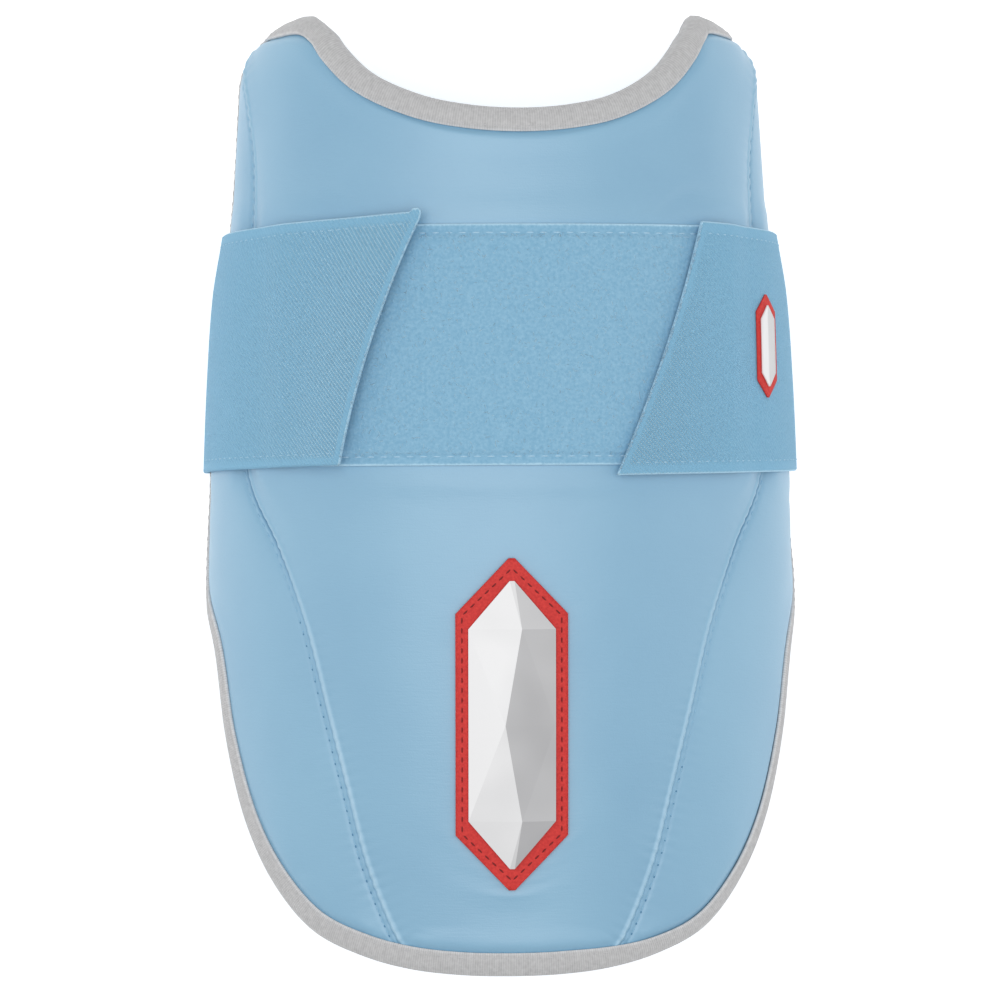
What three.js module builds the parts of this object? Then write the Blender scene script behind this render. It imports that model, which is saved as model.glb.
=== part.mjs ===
// Elbow guard for batting: a padded shell of three sewn panels whose cut edge is bound with folded
// tape, a loop field across its front, and one elastic strap round behind the arm whose two ends
// lap the loop field. It lies on its open side, outer face up. Millimetres, +Z up, X across the
// arm, Y along it towards the shoulder; the origin is on the resting surface under its middle.
import * as THREE from "three";

// Outer face of the shell, a row for each station along the arm: half of its width and the height
// of its crown. A section is a quarter of an ellipse on each side of the crown and a straight wall
// below the widest line.
const SECTIONS = [
  { y: -131.3, halfWidth: 75.4, crown: 53.0 },
  { y: -71.3, halfWidth: 77.4, crown: 60.0 },
  { y: -26.3, halfWidth: 78.4, crown: 63.0 },
  { y: 2.7, halfWidth: 77.2, crown: 64.0 },
  { y: 28.7, halfWidth: 76.1, crown: 64.2 },
  { y: 52.7, halfWidth: 74.4, crown: 63.8 },
  { y: 70.7, halfWidth: 71.5, crown: 63.0 },
  { y: 88.7, halfWidth: 70.0, crown: 62.0 },
  { y: 102.7, halfWidth: 69.2, crown: 61.0 },
  { y: 111.7, halfWidth: 68.3, crown: 60.0 },
  { y: 117.7, halfWidth: 65.2, crown: 59.3 },
  { y: 122.7, halfWidth: 60.2, crown: 58.6 },
  { y: 126.7, halfWidth: 53.4, crown: 57.9 },
  { y: 129.7, halfWidth: 46.5, crown: 57.4 },
];
const DROP = 0.68; // crown over the widest line, as a share of the half width

// Finished edge of the right half, from the middle of the foot to the middle of the scoop. A row
// gives the section's angle from the crown or, on the wall, the height over the resting surface.
// The left half mirrors it, but both halves of the scoop are skewed to the right.
const EDGE = [
  { y: -125.6, angle: 0 },
  { y: -125.2, angle: 10.7 },
  { y: -123.7, angle: 21.0, at: "seam foot" },
  { y: -120.6, angle: 31.0 },
  { y: -114.3, angle: 43.2 },
  { y: -102.7, angle: 54.4 },
  { y: -87.1, angle: 64.6 },
  { y: -63.7, angle: 74.2 },
  { y: -40.3, angle: 81.0 },
  { y: -29.3, rise: 7.6 },
  { y: -21.8, rise: 4.4 },
  { y: -16.3, rise: 1.4 },
  { y: -8.3, rise: -0.3 },
  { y: 3.7, rise: 2.2 },
  { y: 18.7, rise: 2.2 },
  { y: 36.7, rise: 2.2 },
  { y: 54.7, rise: 2.2 },
  { y: 70.7, rise: 2.2 },
  { y: 81.7, rise: -0.3 },
  { y: 91.7, rise: 1.0 },
  { y: 100.7, rise: 1.4 },
  { y: 109.7, rise: 1.8 },
  { y: 118.0, rise: 3.0 },
  { y: 123.0, rise: 6.4, at: "seam head" },
  { y: 126.4, rise: 15.0 },
  { y: 127.6, angle: 74.0 },
  { y: 123.4, angle: 53.5, skew: 1.2 },
  { y: 117.9, angle: 43.2, skew: 1.2 },
  { y: 110.6, angle: 33.5, skew: 1.5 },
  { y: 104.1, angle: 21.2, skew: 2.4 },
  { y: 101.5, angle: 11.0, skew: 2.8 },
  { y: 100.6, angle: 0, skew: 3.0 },
];

// Seam between the middle panel and the side panel, from above the foot to below the head.
const SEAM = [
  { y: -115.3, angle: 23.4 },
  { y: -96.3, angle: 29.6 },
  { y: -75.3, angle: 34.0 },
  { y: -57.3, angle: 37.8 },
  { y: -33.3, angle: 43.2 },
  { y: -13.3, angle: 51.4 },
  { y: 5.2, angle: 63.0 },
  { y: 33.7, angle: 67.0 },
  { y: 68.7, angle: 69.4 },
  { y: 88.7, angle: 72.5 },
  { y: 105.7, angle: 77.5 },
  { y: 113.2, angle: 84.5 },
];

const GAP = 0.3; // between neighbouring pieces
const WALL = 8.5; // padded wall
const EDGE_OUTER = -1.8; // wall's faces where the tape presses it, from the outer face
const EDGE_INNER = -6.0;
const EDGE_TRIM = 3.0; // wall's cut edge, in from the finished edge
const EDGE_ROUND = 0.6; // how far the cut edge's corners are rounded off
const PRESS = [9, 16.5]; // the padding swells back to its full thickness over this stretch
const SEAM_SINK = 1.0; // depth of the valley that a seam pulls into the padding
const SEAM_REACH = 7;
const SEAM_GAP = 0.4; // of each panel from the seam's line

const TAPE = 1.1; // binding tape
const TAPE_LEG = 6.6; // how far each leg of the folded tape reaches in from the edge
const TAPE_BEND = 2.8; // and how far its fold does

const LOOP = { low: 7.7, high: 70.0, reach: 58, thickness: 1.3 };

const STRAP = { low: 6.2, high: 68.2, thickness: 1.6, lift: 0.4, turn: 5 };
// The strap climbs onto the loop field between these reaches.
const STRAP_CLIMB = { from: 70, to: 59.5, height: 1.5 };
// The two ends on the front, each with the heights and reaches of its two corners, and how far its
// cut is bowed away from the crown.
const STRAP_END = {
  left: { low: 7.9, high: 72.9, lowReach: 43.0, highReach: 21.4, bow: 2.3 },
  right: { low: 5.0, high: 70.8, lowReach: 26.9, highReach: 51.3, bow: 1.3 },
};

// A six-sided patch: its shoulders are at two thirds of the way from its middle to its tips.
const EMBLEM = { y: -59.3, halfLength: 43, halfWidth: 14.5, tip: 0.8, thickness: 1.0 };
const EMBLEM_SHOULDER = (2 / 3) * EMBLEM.halfLength;
const FACE = { halfLength: 37.2, halfWidth: 11.1, rim: 0.8, ridge: 2.2 };

const BLUE = 0x96bcd5;
const STRAP_BLUE = 0x80b0cd;
const LOOP_BLUE = 0x89b5cf;
const GREY = 0xbfbfc0;
const RED = 0xcf3431;
const WHITE = 0xe9e9ea;

// Cells of the bent boxes and of the ring. The panels' rows run along the seams.
const CELLS = { rows: 30, front: 32, side: 7, ring: 128, strap: 5, loop: [16, 6], emblem: [6, 12] };

const RIGHT_ANGLE = Math.PI / 2;
const { clamp, lerp: mix } = THREE.MathUtils;
const ease = (from, to, value) => THREE.MathUtils.smoothstep(value, from, to);

// One column of the sections at y, smooth through every row.
function sectionValue(key, y) {
  const slope = (i) => {
    const a = SECTIONS[Math.max(i - 1, 0)];
    const b = SECTIONS[Math.min(i + 1, SECTIONS.length - 1)];
    return (b[key] - a[key]) / (b.y - a.y);
  };
  let i = 0;
  while (i < SECTIONS.length - 2 && SECTIONS[i + 1].y < y) i++;
  const [a, b] = [SECTIONS[i], SECTIONS[i + 1]];
  const span = b.y - a.y;
  const t = (y - a.y) / span;
  const t2 = t * t;
  const t3 = t2 * t;
  return (
    (2 * t3 - 3 * t2 + 1) * a[key] +
    (t3 - 2 * t2 + t) * span * slope(i) +
    (3 * t2 - 2 * t3) * b[key] +
    (t3 - t2) * span * slope(i + 1)
  );
}

// Length of the unit section's curve from the crown, at equal steps of its angle.
const ARC_STEPS = 240;
const ARC = [0];
for (let i = 1; i <= ARC_STEPS; i++) {
  const angle = ((i - 0.5) / ARC_STEPS) * RIGHT_ANGLE;
  const speed = Math.hypot(Math.cos(angle), DROP * Math.sin(angle));
  ARC.push(ARC[i - 1] + (speed * RIGHT_ANGLE) / ARC_STEPS);
}
const QUARTER = ARC[ARC_STEPS];

function arcLength(angle) {
  const place = (angle / RIGHT_ANGLE) * ARC_STEPS;
  const i = Math.min(Math.floor(place), ARC_STEPS - 1);
  return mix(ARC[i], ARC[i + 1], place - i);
}

function arcAngle(length) {
  let i = 0;
  while (i < ARC_STEPS - 1 && ARC[i + 1] < length) i++;
  const share = (length - ARC[i]) / (ARC[i + 1] - ARC[i]);
  return ((i + share) / ARC_STEPS) * RIGHT_ANGLE;
}

// A point of the outer face from its flat pattern: s is the distance round from the crown line.
function facePoint(s, y) {
  const halfWidth = sectionValue("halfWidth", y);
  const crown = sectionValue("crown", y);
  const round = Math.abs(s) / halfWidth;
  const side = s < 0 ? -1 : 1;
  if (round < QUARTER) {
    const angle = arcAngle(round);
    const fall = DROP * halfWidth * (1 - Math.cos(angle));
    return new THREE.Vector3(side * halfWidth * Math.sin(angle), y, crown - fall);
  }
  const below = (round - QUARTER) * halfWidth;
  return new THREE.Vector3(side * halfWidth, y, crown - DROP * halfWidth - below);
}

// A point at a height over the outer face.
function wrap(s, y, height) {
  const step = 0.5;
  const across = facePoint(s + step, y).sub(facePoint(s - step, y));
  const along = facePoint(s, y + step).sub(facePoint(s, y - step));
  return facePoint(s, y).addScaledVector(across.cross(along).normalize(), height);
}

// A row of the edge or the seam as a point of the flat pattern.
function patternPoint(row, side) {
  const halfWidth = sectionValue("halfWidth", row.y);
  let s = halfWidth * QUARTER;
  if (row.rise === undefined) {
    s = halfWidth * arcLength(THREE.MathUtils.degToRad(row.angle));
  } else {
    s += sectionValue("crown", row.y) - DROP * halfWidth - row.rise;
  }
  return new THREE.Vector3(side * s + (row.skew ?? 0), row.y, 0);
}

const rightHalf = EDGE.map((row) => patternPoint(row, 1));
const leftHalf = EDGE.slice(1, -1).map((row) => patternPoint(row, -1)).reverse();
const edgeCurve = new THREE.CatmullRomCurve3([...rightHalf, ...leftHalf], true);
const edgeCount = edgeCurve.points.length;
const FOOT = EDGE.findIndex((row) => row.at === "seam foot") / edgeCount;
const HEAD = EDGE.findIndex((row) => row.at === "seam head") / edgeCount;

// A point of the pattern in from the finished edge; t runs once round, from the foot's middle.
function edgeAt(t, inset) {
  const turn = t - Math.floor(t);
  const p = edgeCurve.getPoint(turn);
  const d = edgeCurve.getTangent(turn);
  return new THREE.Vector3(p.x - d.y * inset, p.y + d.x * inset, 0);
}

const LINE_STEPS = 240;

function edgeStretch(from, to, inset) {
  const points = [];
  for (let i = 0; i <= LINE_STEPS; i++) points.push(edgeAt(mix(from, to, i / LINE_STEPS), inset));
  return alongLine(points);
}

function seamPoints(side) {
  const foot = edgeAt(side * FOOT, EDGE_TRIM);
  const head = edgeAt(side * HEAD, EDGE_TRIM);
  const rows = SEAM.map((row) => patternPoint(row, side));
  return new THREE.CatmullRomCurve3([foot, ...rows, head]).getPoints(LINE_STEPS);
}

// The point at a share of a line's length.
function alongLine(points) {
  const lengths = [0];
  for (let i = 1; i < points.length; i++) {
    lengths.push(lengths[i - 1] + points[i].distanceTo(points[i - 1]));
  }
  return (share) => {
    const target = share * lengths.at(-1);
    let i = 1;
    while (i < points.length - 1 && lengths[i] < target) i++;
    const rest = (target - lengths[i - 1]) / (lengths[i] - lengths[i - 1]);
    return points[i - 1].clone().lerp(points[i], rest);
  };
}

function distanceTo(points, p) {
  let least = Infinity;
  for (const q of points) least = Math.min(least, p.distanceToSquared(q));
  return Math.sqrt(least);
}

const EDGE_SAMPLES = 900;
const edgePoints = [];
for (let i = 0; i < EDGE_SAMPLES; i++) edgePoints.push(edgeAt(i / EDGE_SAMPLES, 0));
const seams = { left: seamPoints(-1), right: seamPoints(1) };
const bothSeams = [...seams.left, ...seams.right];

// A point of the padded wall: w is 0 on its inner face and 1 on its outer face.
function wallPoint(p, w) {
  const fromEdge = distanceTo(edgePoints, p);
  const fromSeam = distanceTo(bothSeams, p);
  const swell = ease(...PRESS, fromEdge);
  const corner = EDGE_ROUND * (1 - ease(EDGE_TRIM, 2 * EDGE_TRIM, fromEdge));
  const valley = SEAM_SINK * (1 - ease(0, SEAM_REACH, fromSeam)) * swell;
  const outer = mix(EDGE_OUTER, 0, swell) - corner - valley;
  const inner = mix(EDGE_INNER, -WALL, swell) + corner;
  return wrap(p.x, p.y, w > 0.5 ? outer : inner);
}

// A box one cell deep, bent by place(u, v, w), each from 0 to 1.
function bentBox(columns, rows, place) {
  const geometry = new THREE.BoxGeometry(1, 1, 1, columns, rows, 1).translate(0.5, 0.5, 0.5);
  return bent(geometry, (p) => place(p.x, p.y, p.z));
}

// A ring bent by place(turn, corner): the share of the way round, and the corner of its profile.
function bentRing(corners, steps, place) {
  const geometry = new THREE.TorusGeometry(2, 1, corners, steps);
  const row = steps + 1;
  return bent(geometry, (p, i) => place((i % row) / steps, Math.floor(i / row) % corners));
}

function bent(geometry, place) {
  const position = geometry.attributes.position;
  for (let i = 0; i < position.count; i++) {
    const p = place(new THREE.Vector3().fromBufferAttribute(position, i), i);
    position.setXYZ(i, p.x, p.y, p.z);
  }
  geometry.deleteAttribute("uv");
  geometry.computeVertexNormals();
  return geometry;
}

const CROWDING = 0.075; // the panels' rows are closer together towards both ends
const POINT = 0.014; // share of a seam that the blunt point of a side panel leaves out
const crowd = (v) => v - CROWDING * Math.sin(2 * Math.PI * v);
const BUNCHING = 0.032; // the middle panel's columns are closer together towards the two horns
const bunch = (u) => u + BUNCHING * Math.sin(4 * Math.PI * u);

// The middle panel fills the pattern between the two seams, the foot and the scoop.
function frontPanel() {
  const foot = edgeStretch(-FOOT, FOOT, EDGE_TRIM);
  const top = edgeStretch(1 - HEAD, HEAD, EDGE_TRIM);
  const left = alongLine(seams.left);
  const right = alongLine(seams.right);
  return bentBox(CELLS.front, CELLS.rows, (column, row, w) => {
    const u = bunch(column);
    const v = crowd(row);
    const p = foot(u).lerp(top(u), v);
    p.add(left(v).lerp(right(v), u));
    p.sub(foot(0).lerp(foot(1), u).lerp(top(0).lerp(top(1), u), v));
    p.x += mix(SEAM_GAP, -SEAM_GAP, u);
    return wallPoint(p, w);
  });
}

// A side panel fills the pattern between its seam and the edge, from the foot to the head.
function sidePanel(side) {
  const seam = alongLine(side < 0 ? seams.left : seams.right);
  const edge = edgeStretch(side * FOOT, side * HEAD, EDGE_TRIM);
  return bentBox(CELLS.side, CELLS.rows, (u, row, w) => {
    const share = clamp(crowd(row), POINT, 1 - POINT);
    const out = side < 0 ? 1 - u : u;
    const p = seam(share).lerp(edge(share), out);
    p.x += side * SEAM_GAP * (1 - out);
    return wallPoint(p, w);
  });
}

// The tape folded round the edge: profile corners as distance in from the edge and height.
function edgeBinding() {
  const outer = EDGE_OUTER + 2 * GAP;
  const inner = EDGE_INNER - 2 * GAP;
  const middle = (outer + inner) / 2;
  const profile = [
    [0, middle],
    [TAPE_BEND / 4, outer - GAP],
    [TAPE_BEND, outer + TAPE],
    [TAPE_LEG, outer + TAPE],
    [TAPE_LEG, outer],
    [TAPE_BEND, outer],
    [TAPE, outer - TAPE],
    [TAPE, inner + TAPE],
    [TAPE_BEND, inner],
    [TAPE_LEG, inner],
    [TAPE_LEG, inner - TAPE],
    [TAPE_BEND, inner - TAPE],
    [TAPE_BEND / 4, inner + GAP],
  ];
  const closed = [...edgePoints, edgePoints[0]];
  const round = alongLine(closed.map((p, i) => new THREE.Vector3(i / EDGE_SAMPLES, p.x, p.y)));
  return bentRing(profile.length, CELLS.ring, (turn, corner) => {
    // Half way between even steps of length and even steps of the rows, which are close at bends.
    const t = (round(turn % 1).x + (turn % 1)) / 2;
    const [inset, height] = profile[corner];
    const p = edgeAt(t, inset);
    const point = wrap(p.x, p.y, height);
    point.z = Math.max(point.z, 0);
    return point;
  });
}

function loopField() {
  return bentBox(...CELLS.loop, (u, v, w) =>
    wrap(mix(-LOOP.reach, LOOP.reach, u), mix(LOOP.low, LOOP.high, v), GAP + w * LOOP.thickness),
  );
}

// The strap runs along its path from the right end to the left end; the steps of one half are the
// flat stretch behind the arm, the turn round the wall's edge, and the side with its end.
const STRAP_STEPS = { back: 2, turn: 5, side: 19 };

function strap() {
  const half = STRAP_STEPS.back + STRAP_STEPS.turn + STRAP_STEPS.side;
  return bentBox(2 * half, CELLS.strap, (u, v, w) => {
    const path = (u * 2 - 1) * half;
    const side = path > 0 ? -1 : 1;
    const end = side < 0 ? STRAP_END.left : STRAP_END.right;
    const step = Math.abs(path);
    const onTurn = (step - STRAP_STEPS.back) / STRAP_STEPS.turn;
    const onSide = (onTurn - 1) * (STRAP_STEPS.turn / STRAP_STEPS.side);
    const tilt = Math.max(onSide, 0);
    const y = mix(mix(STRAP.low, end.low, tilt), mix(STRAP.high, end.high, tilt), v);
    const halfWidth = sectionValue("halfWidth", y);
    const outside = halfWidth + STRAP.lift + STRAP.thickness;
    const centre = outside - STRAP.turn;
    const layer = STRAP.thickness * (1 - w);
    if (onTurn <= 0) {
      return new THREE.Vector3(side * centre * (step / STRAP_STEPS.back), y, layer);
    }
    if (onSide <= 0) {
      const angle = onTurn * RIGHT_ANGLE;
      const radius = STRAP.turn - layer;
      const x = centre + radius * Math.sin(angle);
      return new THREE.Vector3(side * x, y, STRAP.turn - radius * Math.cos(angle));
    }
    const wallTop = halfWidth * QUARTER;
    const start = wallTop + sectionValue("crown", y) - DROP * halfWidth - STRAP.turn;
    const cut = mix(end.lowReach, end.highReach, v) + end.bow * 4 * v * (1 - v);
    const s = mix(start, cut, onSide);
    const climb = STRAP_CLIMB.height * ease(-STRAP_CLIMB.from, -STRAP_CLIMB.to, -s);
    return wrap(side * s, y, STRAP.lift + climb + STRAP.thickness - layer);
  });
}

// The emblem's half width at a place along it, as a share of the greatest.
function emblemWidth(along) {
  const taper = (EMBLEM.halfLength - Math.abs(along)) / (EMBLEM.halfLength - EMBLEM_SHOULDER);
  return mix(EMBLEM.tip / EMBLEM.halfWidth, 1, clamp(taper, 0, 1));
}

function emblemBase() {
  return bentBox(...CELLS.emblem, (u, v, w) => {
    const along = mix(-EMBLEM.halfLength, EMBLEM.halfLength, v);
    const s = mix(-1, 1, u) * EMBLEM.halfWidth * emblemWidth(along);
    return wrap(s, EMBLEM.y + along, GAP + w * EMBLEM.thickness);
  });
}

// The face is a roof of flat facets, highest along the middle line between the shoulders.
function emblemFace() {
  const floor = EMBLEM.thickness + 2 * GAP;
  return bentBox(...CELLS.emblem, (u, v, w) => {
    const width = emblemWidth(mix(-EMBLEM.halfLength, EMBLEM.halfLength, v));
    const across = mix(-1, 1, u);
    const roof = (FACE.ridge - FACE.rim) * (1 - Math.abs(across)) * width;
    const y = EMBLEM.y + mix(-FACE.halfLength, FACE.halfLength, v);
    return wrap(across * FACE.halfWidth * width, y, floor + w * (FACE.rim + roof));
  });
}

const guard = new THREE.Group();
guard.name = "elbow_guard";

function add(name, geometry, color, roughness) {
  const material = new THREE.MeshStandardMaterial({ color, roughness, metalness: 0 });
  material.name = name;
  const mesh = new THREE.Mesh(geometry, material);
  mesh.name = name;
  guard.add(mesh);
}

add("front_panel", frontPanel(), BLUE, 0.62);
add("side_panel_left", sidePanel(-1), BLUE, 0.62);
add("side_panel_right", sidePanel(1), BLUE, 0.62);
add("edge_binding", edgeBinding(), GREY, 0.8);
add("loop_field", loopField(), LOOP_BLUE, 0.95);
add("strap", strap(), STRAP_BLUE, 0.85);
add("emblem_base", emblemBase(), RED, 0.7);
add("emblem_face", emblemFace(), WHITE, 0.45);

export default guard;
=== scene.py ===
# %% [markdown]
# # A padded elbow guard
# The guard is a curved shell of foam under a leather-like cover, sewn from three panels and bound with
# grey tape. A soft loop field is sewn across its front, and one elastic strap goes round behind the arm
# and grips that field with both ends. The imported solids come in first, as a fixed frame in metres: the
# guard lies on its open side with its front up. Each solid is then replaced by a piece with the real
# one's skin: swollen padding, sewn seams, ribbed tape, looped pile and woven elastic.

# %% Load the frame
import math

import bmesh
import bpy
import numpy as np
from mathutils import Matrix, Vector
from mathutils.kdtree import KDTree


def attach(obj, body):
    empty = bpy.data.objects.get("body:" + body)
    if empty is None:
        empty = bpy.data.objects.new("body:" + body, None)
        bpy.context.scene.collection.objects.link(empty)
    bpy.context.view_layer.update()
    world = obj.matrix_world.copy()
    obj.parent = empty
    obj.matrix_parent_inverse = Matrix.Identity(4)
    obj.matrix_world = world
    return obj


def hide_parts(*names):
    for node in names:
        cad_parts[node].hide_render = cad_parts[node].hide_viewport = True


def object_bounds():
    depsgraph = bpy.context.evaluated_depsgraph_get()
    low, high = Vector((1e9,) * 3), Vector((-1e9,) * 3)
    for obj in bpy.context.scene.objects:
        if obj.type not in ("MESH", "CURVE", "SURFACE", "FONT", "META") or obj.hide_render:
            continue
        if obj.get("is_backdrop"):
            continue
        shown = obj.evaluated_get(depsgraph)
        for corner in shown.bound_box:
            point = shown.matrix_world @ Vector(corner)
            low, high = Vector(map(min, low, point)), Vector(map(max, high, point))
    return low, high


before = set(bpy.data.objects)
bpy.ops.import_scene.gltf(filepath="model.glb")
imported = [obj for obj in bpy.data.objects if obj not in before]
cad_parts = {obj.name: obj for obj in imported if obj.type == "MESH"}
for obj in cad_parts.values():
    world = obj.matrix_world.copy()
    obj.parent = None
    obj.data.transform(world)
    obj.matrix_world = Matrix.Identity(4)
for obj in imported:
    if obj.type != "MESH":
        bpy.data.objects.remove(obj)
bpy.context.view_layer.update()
scene = bpy.context.scene
MM = 0.001
SEED = 7
print("solids:", ", ".join(sorted(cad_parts)))

# %% [markdown]
# ## The studio
# The guard is seen from almost straight above, a little from its left, so the camera is a long lens high
# over the table. Its turn is built from three axes instead of angles, because a small roll is easier to
# add that way. The table is white and the light comes from large soft panels.

# %% Camera
LOOK_AT = Vector((-0.0022, -0.0013, 0.05))
CAMERA_AWAY = 1.6
CAMERA_TILT = math.radians(3.0)
CAMERA_ROLL = math.radians(-0.3)
FIELD_WIDE = 0.26015
SENSOR_MM = 36.0

back = Vector((-math.sin(CAMERA_TILT), 0, math.cos(CAMERA_TILT)))
right = Vector((0, 1, 0)).cross(back).normalized()
up = back.cross(right)
rolled_right = right * math.cos(CAMERA_ROLL) + up * math.sin(CAMERA_ROLL)
rolled_up = up * math.cos(CAMERA_ROLL) - right * math.sin(CAMERA_ROLL)
camera = bpy.data.objects.new("camera", bpy.data.cameras.new("camera"))
camera.data.sensor_width = SENSOR_MM
camera.data.lens = SENSOR_MM * CAMERA_AWAY / FIELD_WIDE
turn = Matrix((rolled_right, rolled_up, back)).transposed().to_4x4()
camera.matrix_world = Matrix.Translation(LOOK_AT + back * CAMERA_AWAY) @ turn
scene.collection.objects.link(camera)
scene.camera = camera
print(f"camera: {camera.data.lens:.0f} mm lens, {CAMERA_AWAY} m away")

# %% Light
SKY = 0.44
LIGHT_AIM = Vector((0, 0, 0.03))
PANELS = [
    # name, place, width and length, watts
    ("light_top", (-0.08, 0.05, 1.2), (0.9, 1.2), 7.5),
    ("light_left", (-0.9, 0.0, 0.35), (0.4, 1.0), 0.95),
    ("light_right", (0.9, 0.0, 0.35), (0.4, 1.0), 1.25),
]

scene.view_settings.view_transform = "Standard"
world = bpy.data.worlds.new("studio")
scene.world = world
world.use_nodes = True
world.node_tree.nodes["Background"].inputs["Color"].default_value = (1, 1, 1, 1)
world.node_tree.nodes["Background"].inputs["Strength"].default_value = SKY
for name, place, size, watts in PANELS:
    lamp = bpy.data.lights.new(name, "AREA")
    lamp.shape = "RECTANGLE"
    lamp.size, lamp.size_y = size
    lamp.energy = watts
    panel = bpy.data.objects.new(name, lamp)
    panel.location = place
    panel.rotation_euler = (LIGHT_AIM - panel.location).to_track_quat("-Z", "Y").to_euler()
    scene.collection.objects.link(panel)
print("light:", len(PANELS), "soft panels")

# %% [markdown]
# ## Finishes
# A finish is a small network of nodes round one shader. A few helpers keep the networks short: they add a
# node and set its sockets, lay a pattern, paint the shader with a range of colours and turn a height into a
# bump. Patterns are placed in metres, by the object's own coordinates or by a cloth's own flat measure in
# its UV map.

# %% Helpers for finishes
def linear(red, green, blue):
    """A colour given from 0 to 255, as the shader reads it."""
    shares = np.array([red, green, blue]) / 255
    curve = np.where(shares <= 0.04045, shares / 12.92, ((shares + 0.055) / 1.055) ** 2.4)
    return (*(float(c) for c in curve), 1.0)


def new_finish(name, roughness, sheen=0.0, gloss=0.5):
    material = bpy.data.materials.new(name)
    material.use_nodes = True
    shader = material.node_tree.nodes["Principled BSDF"]
    shader.inputs["Roughness"].default_value = roughness
    shader.inputs["Sheen Weight"].default_value = sheen
    shader.inputs["Specular IOR Level"].default_value = gloss
    return material, material.node_tree, shader


def add_node(tree, kind, sockets=None, **settings):
    node = tree.nodes.new("ShaderNode" + kind)
    for key, value in settings.items():
        setattr(node, key, value)
    for key, value in (sockets or {}).items():
        node.inputs[key].default_value = value
    return node


def coordinates(tree, output, scale, turn=0.0):
    """Coordinates of the piece, scaled and turned about Z: output is Object or UV."""
    source = add_node(tree, "TexCoord")
    mapping = add_node(tree, "Mapping", {"Scale": scale, "Rotation": (0, 0, turn)})
    tree.links.new(source.outputs[output], mapping.inputs["Vector"])
    return mapping.outputs["Vector"]


def noise(tree, scale, detail=2.0, output="Object"):
    """Noise with a number of spots to a metre, the same along every axis or given for each."""
    node = add_node(tree, "TexNoise", {"Scale": 1.0, "Detail": detail})
    scales = scale if isinstance(scale, tuple) else (scale, scale, scale)
    tree.links.new(coordinates(tree, output, scales), node.inputs["Vector"])
    return node.outputs["Fac"]


def paint(tree, shader, value, *stops):
    """Colours the shader by a value, between stops that are a place and a colour each."""
    node = add_node(tree, "ValToRGB")
    elements = node.color_ramp.elements
    while len(elements) < len(stops):
        elements.new(1.0)
    for element, (place, color) in zip(elements, stops):
        element.position = place
        element.color = color
    tree.links.new(value, node.inputs["Fac"])
    tree.links.new(node.outputs["Color"], shader.inputs["Base Color"])


def math_node(tree, operation, first, second):
    node = add_node(tree, "Math", operation=operation)
    for socket, value in zip(node.inputs, (first, second)):
        if isinstance(value, (int, float)):
            socket.default_value = value
        else:
            tree.links.new(value, socket)
    return node.outputs["Value"]


def weighted(tree, *pairs):
    """The sum of values, each times its weight."""
    parts = [math_node(tree, "MULTIPLY", value, weight) for value, weight in pairs]
    total = parts[0]
    for part in parts[1:]:
        total = math_node(tree, "ADD", total, part)
    return total


def span(tree, value, low, high, start, end):
    """A value's stretch from low to high, turned into one from start to end and held beyond them."""
    node = add_node(tree, "MapRange", {"From Min": low, "From Max": high, "To Min": start, "To Max": end})
    tree.links.new(value, node.inputs["Value"])
    return node.outputs["Result"]


def attribute(tree, name):
    return add_node(tree, "Attribute", attribute_name=name).outputs["Fac"]


def bump(tree, shader, height, depth, strength=1.0):
    """Adds a relief of a depth in metres to what the shader already has."""
    node = add_node(tree, "Bump", {"Strength": strength, "Distance": depth})
    tree.links.new(height, node.inputs["Height"])
    if shader.inputs["Normal"].is_linked:
        tree.links.new(shader.inputs["Normal"].links[0].from_socket, node.inputs["Normal"])
    tree.links.new(node.outputs["Normal"], shader.inputs["Normal"])


# %% [markdown]
# The cover is a thin synthetic leather. Seen close it has fine pores, and faint hairlines that run across
# the arm; its colour drifts by a few per cent. Noise stretched along X makes the hairlines, and rounder
# noise makes the pores and the drift. A painted highlight turns it pale along each welt, and painted shade
# turns it deep in the seam grooves and where the thread sinks in, so each panel carries a tone for every
# vertex: a half is plain.

# %% Cover
# The first colour is painted shade for the seam grooves and stitches, and the last is a painted highlight for
# the welts.
COVER_PAINTED_SHADE = linear(96, 148, 184)
COVER_DEEP = linear(134, 179, 208)
COVER_PALE = linear(142, 187, 214)
COVER_PAINTED_HIGHLIGHT = linear(182, 213, 232)
DRIFT, DRIFT_SCALE = 0.25, (28, 22, 28)
PORE_SCALE, PORE_DEEP = 2600, 0.00006
HAIRLINE_SCALE, HAIRLINE_DEEP = (190, 1900, 600), 0.00012

cover, tree, shader = new_finish("cover_leather", roughness=0.4, gloss=0.75)
# The tone attribute carries the painted highlight and painted shade along the seams; a half is no painted
# light.
shade = weighted(tree, (attribute(tree, "tone"), 1 - DRIFT), (noise(tree, DRIFT_SCALE, detail=3.0), DRIFT))
paint(tree, shader, shade, (0.0, COVER_PAINTED_SHADE), (0.44, COVER_DEEP), (0.56, COVER_PALE), (1.0, COVER_PAINTED_HIGHLIGHT))
bump(tree, shader, noise(tree, PORE_SCALE), PORE_DEEP, strength=0.5)
bump(tree, shader, noise(tree, HAIRLINE_SCALE, detail=3.0), HAIRLINE_DEEP, strength=0.3)
print("finish:", cover.name)

# %% [markdown]
# The binding is a grey woven tape with ribs across its width, about sixteen to a centimetre. Its UV map is
# measured in metres along and across the tape, so a plain wave on the first coordinate gives the ribs and
# the second one the pale line of the tape's own edge.

# %% Tape
TAPE_DEEP = linear(176, 176, 177)
TAPE_PALE = linear(206, 206, 207)
TAPE_HEM = linear(226, 226, 227)
HEM_BETWEEN = (0.0002, 0.0007)
RIB_PITCH, RIB_DEEP = 0.00062, 0.0001
SOIL_SCALE, SOIL_DEEP = 900, 0.0002
WAVE_UNIT, WAVE_BEND = 2 * math.pi / 20, 0.6


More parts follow.
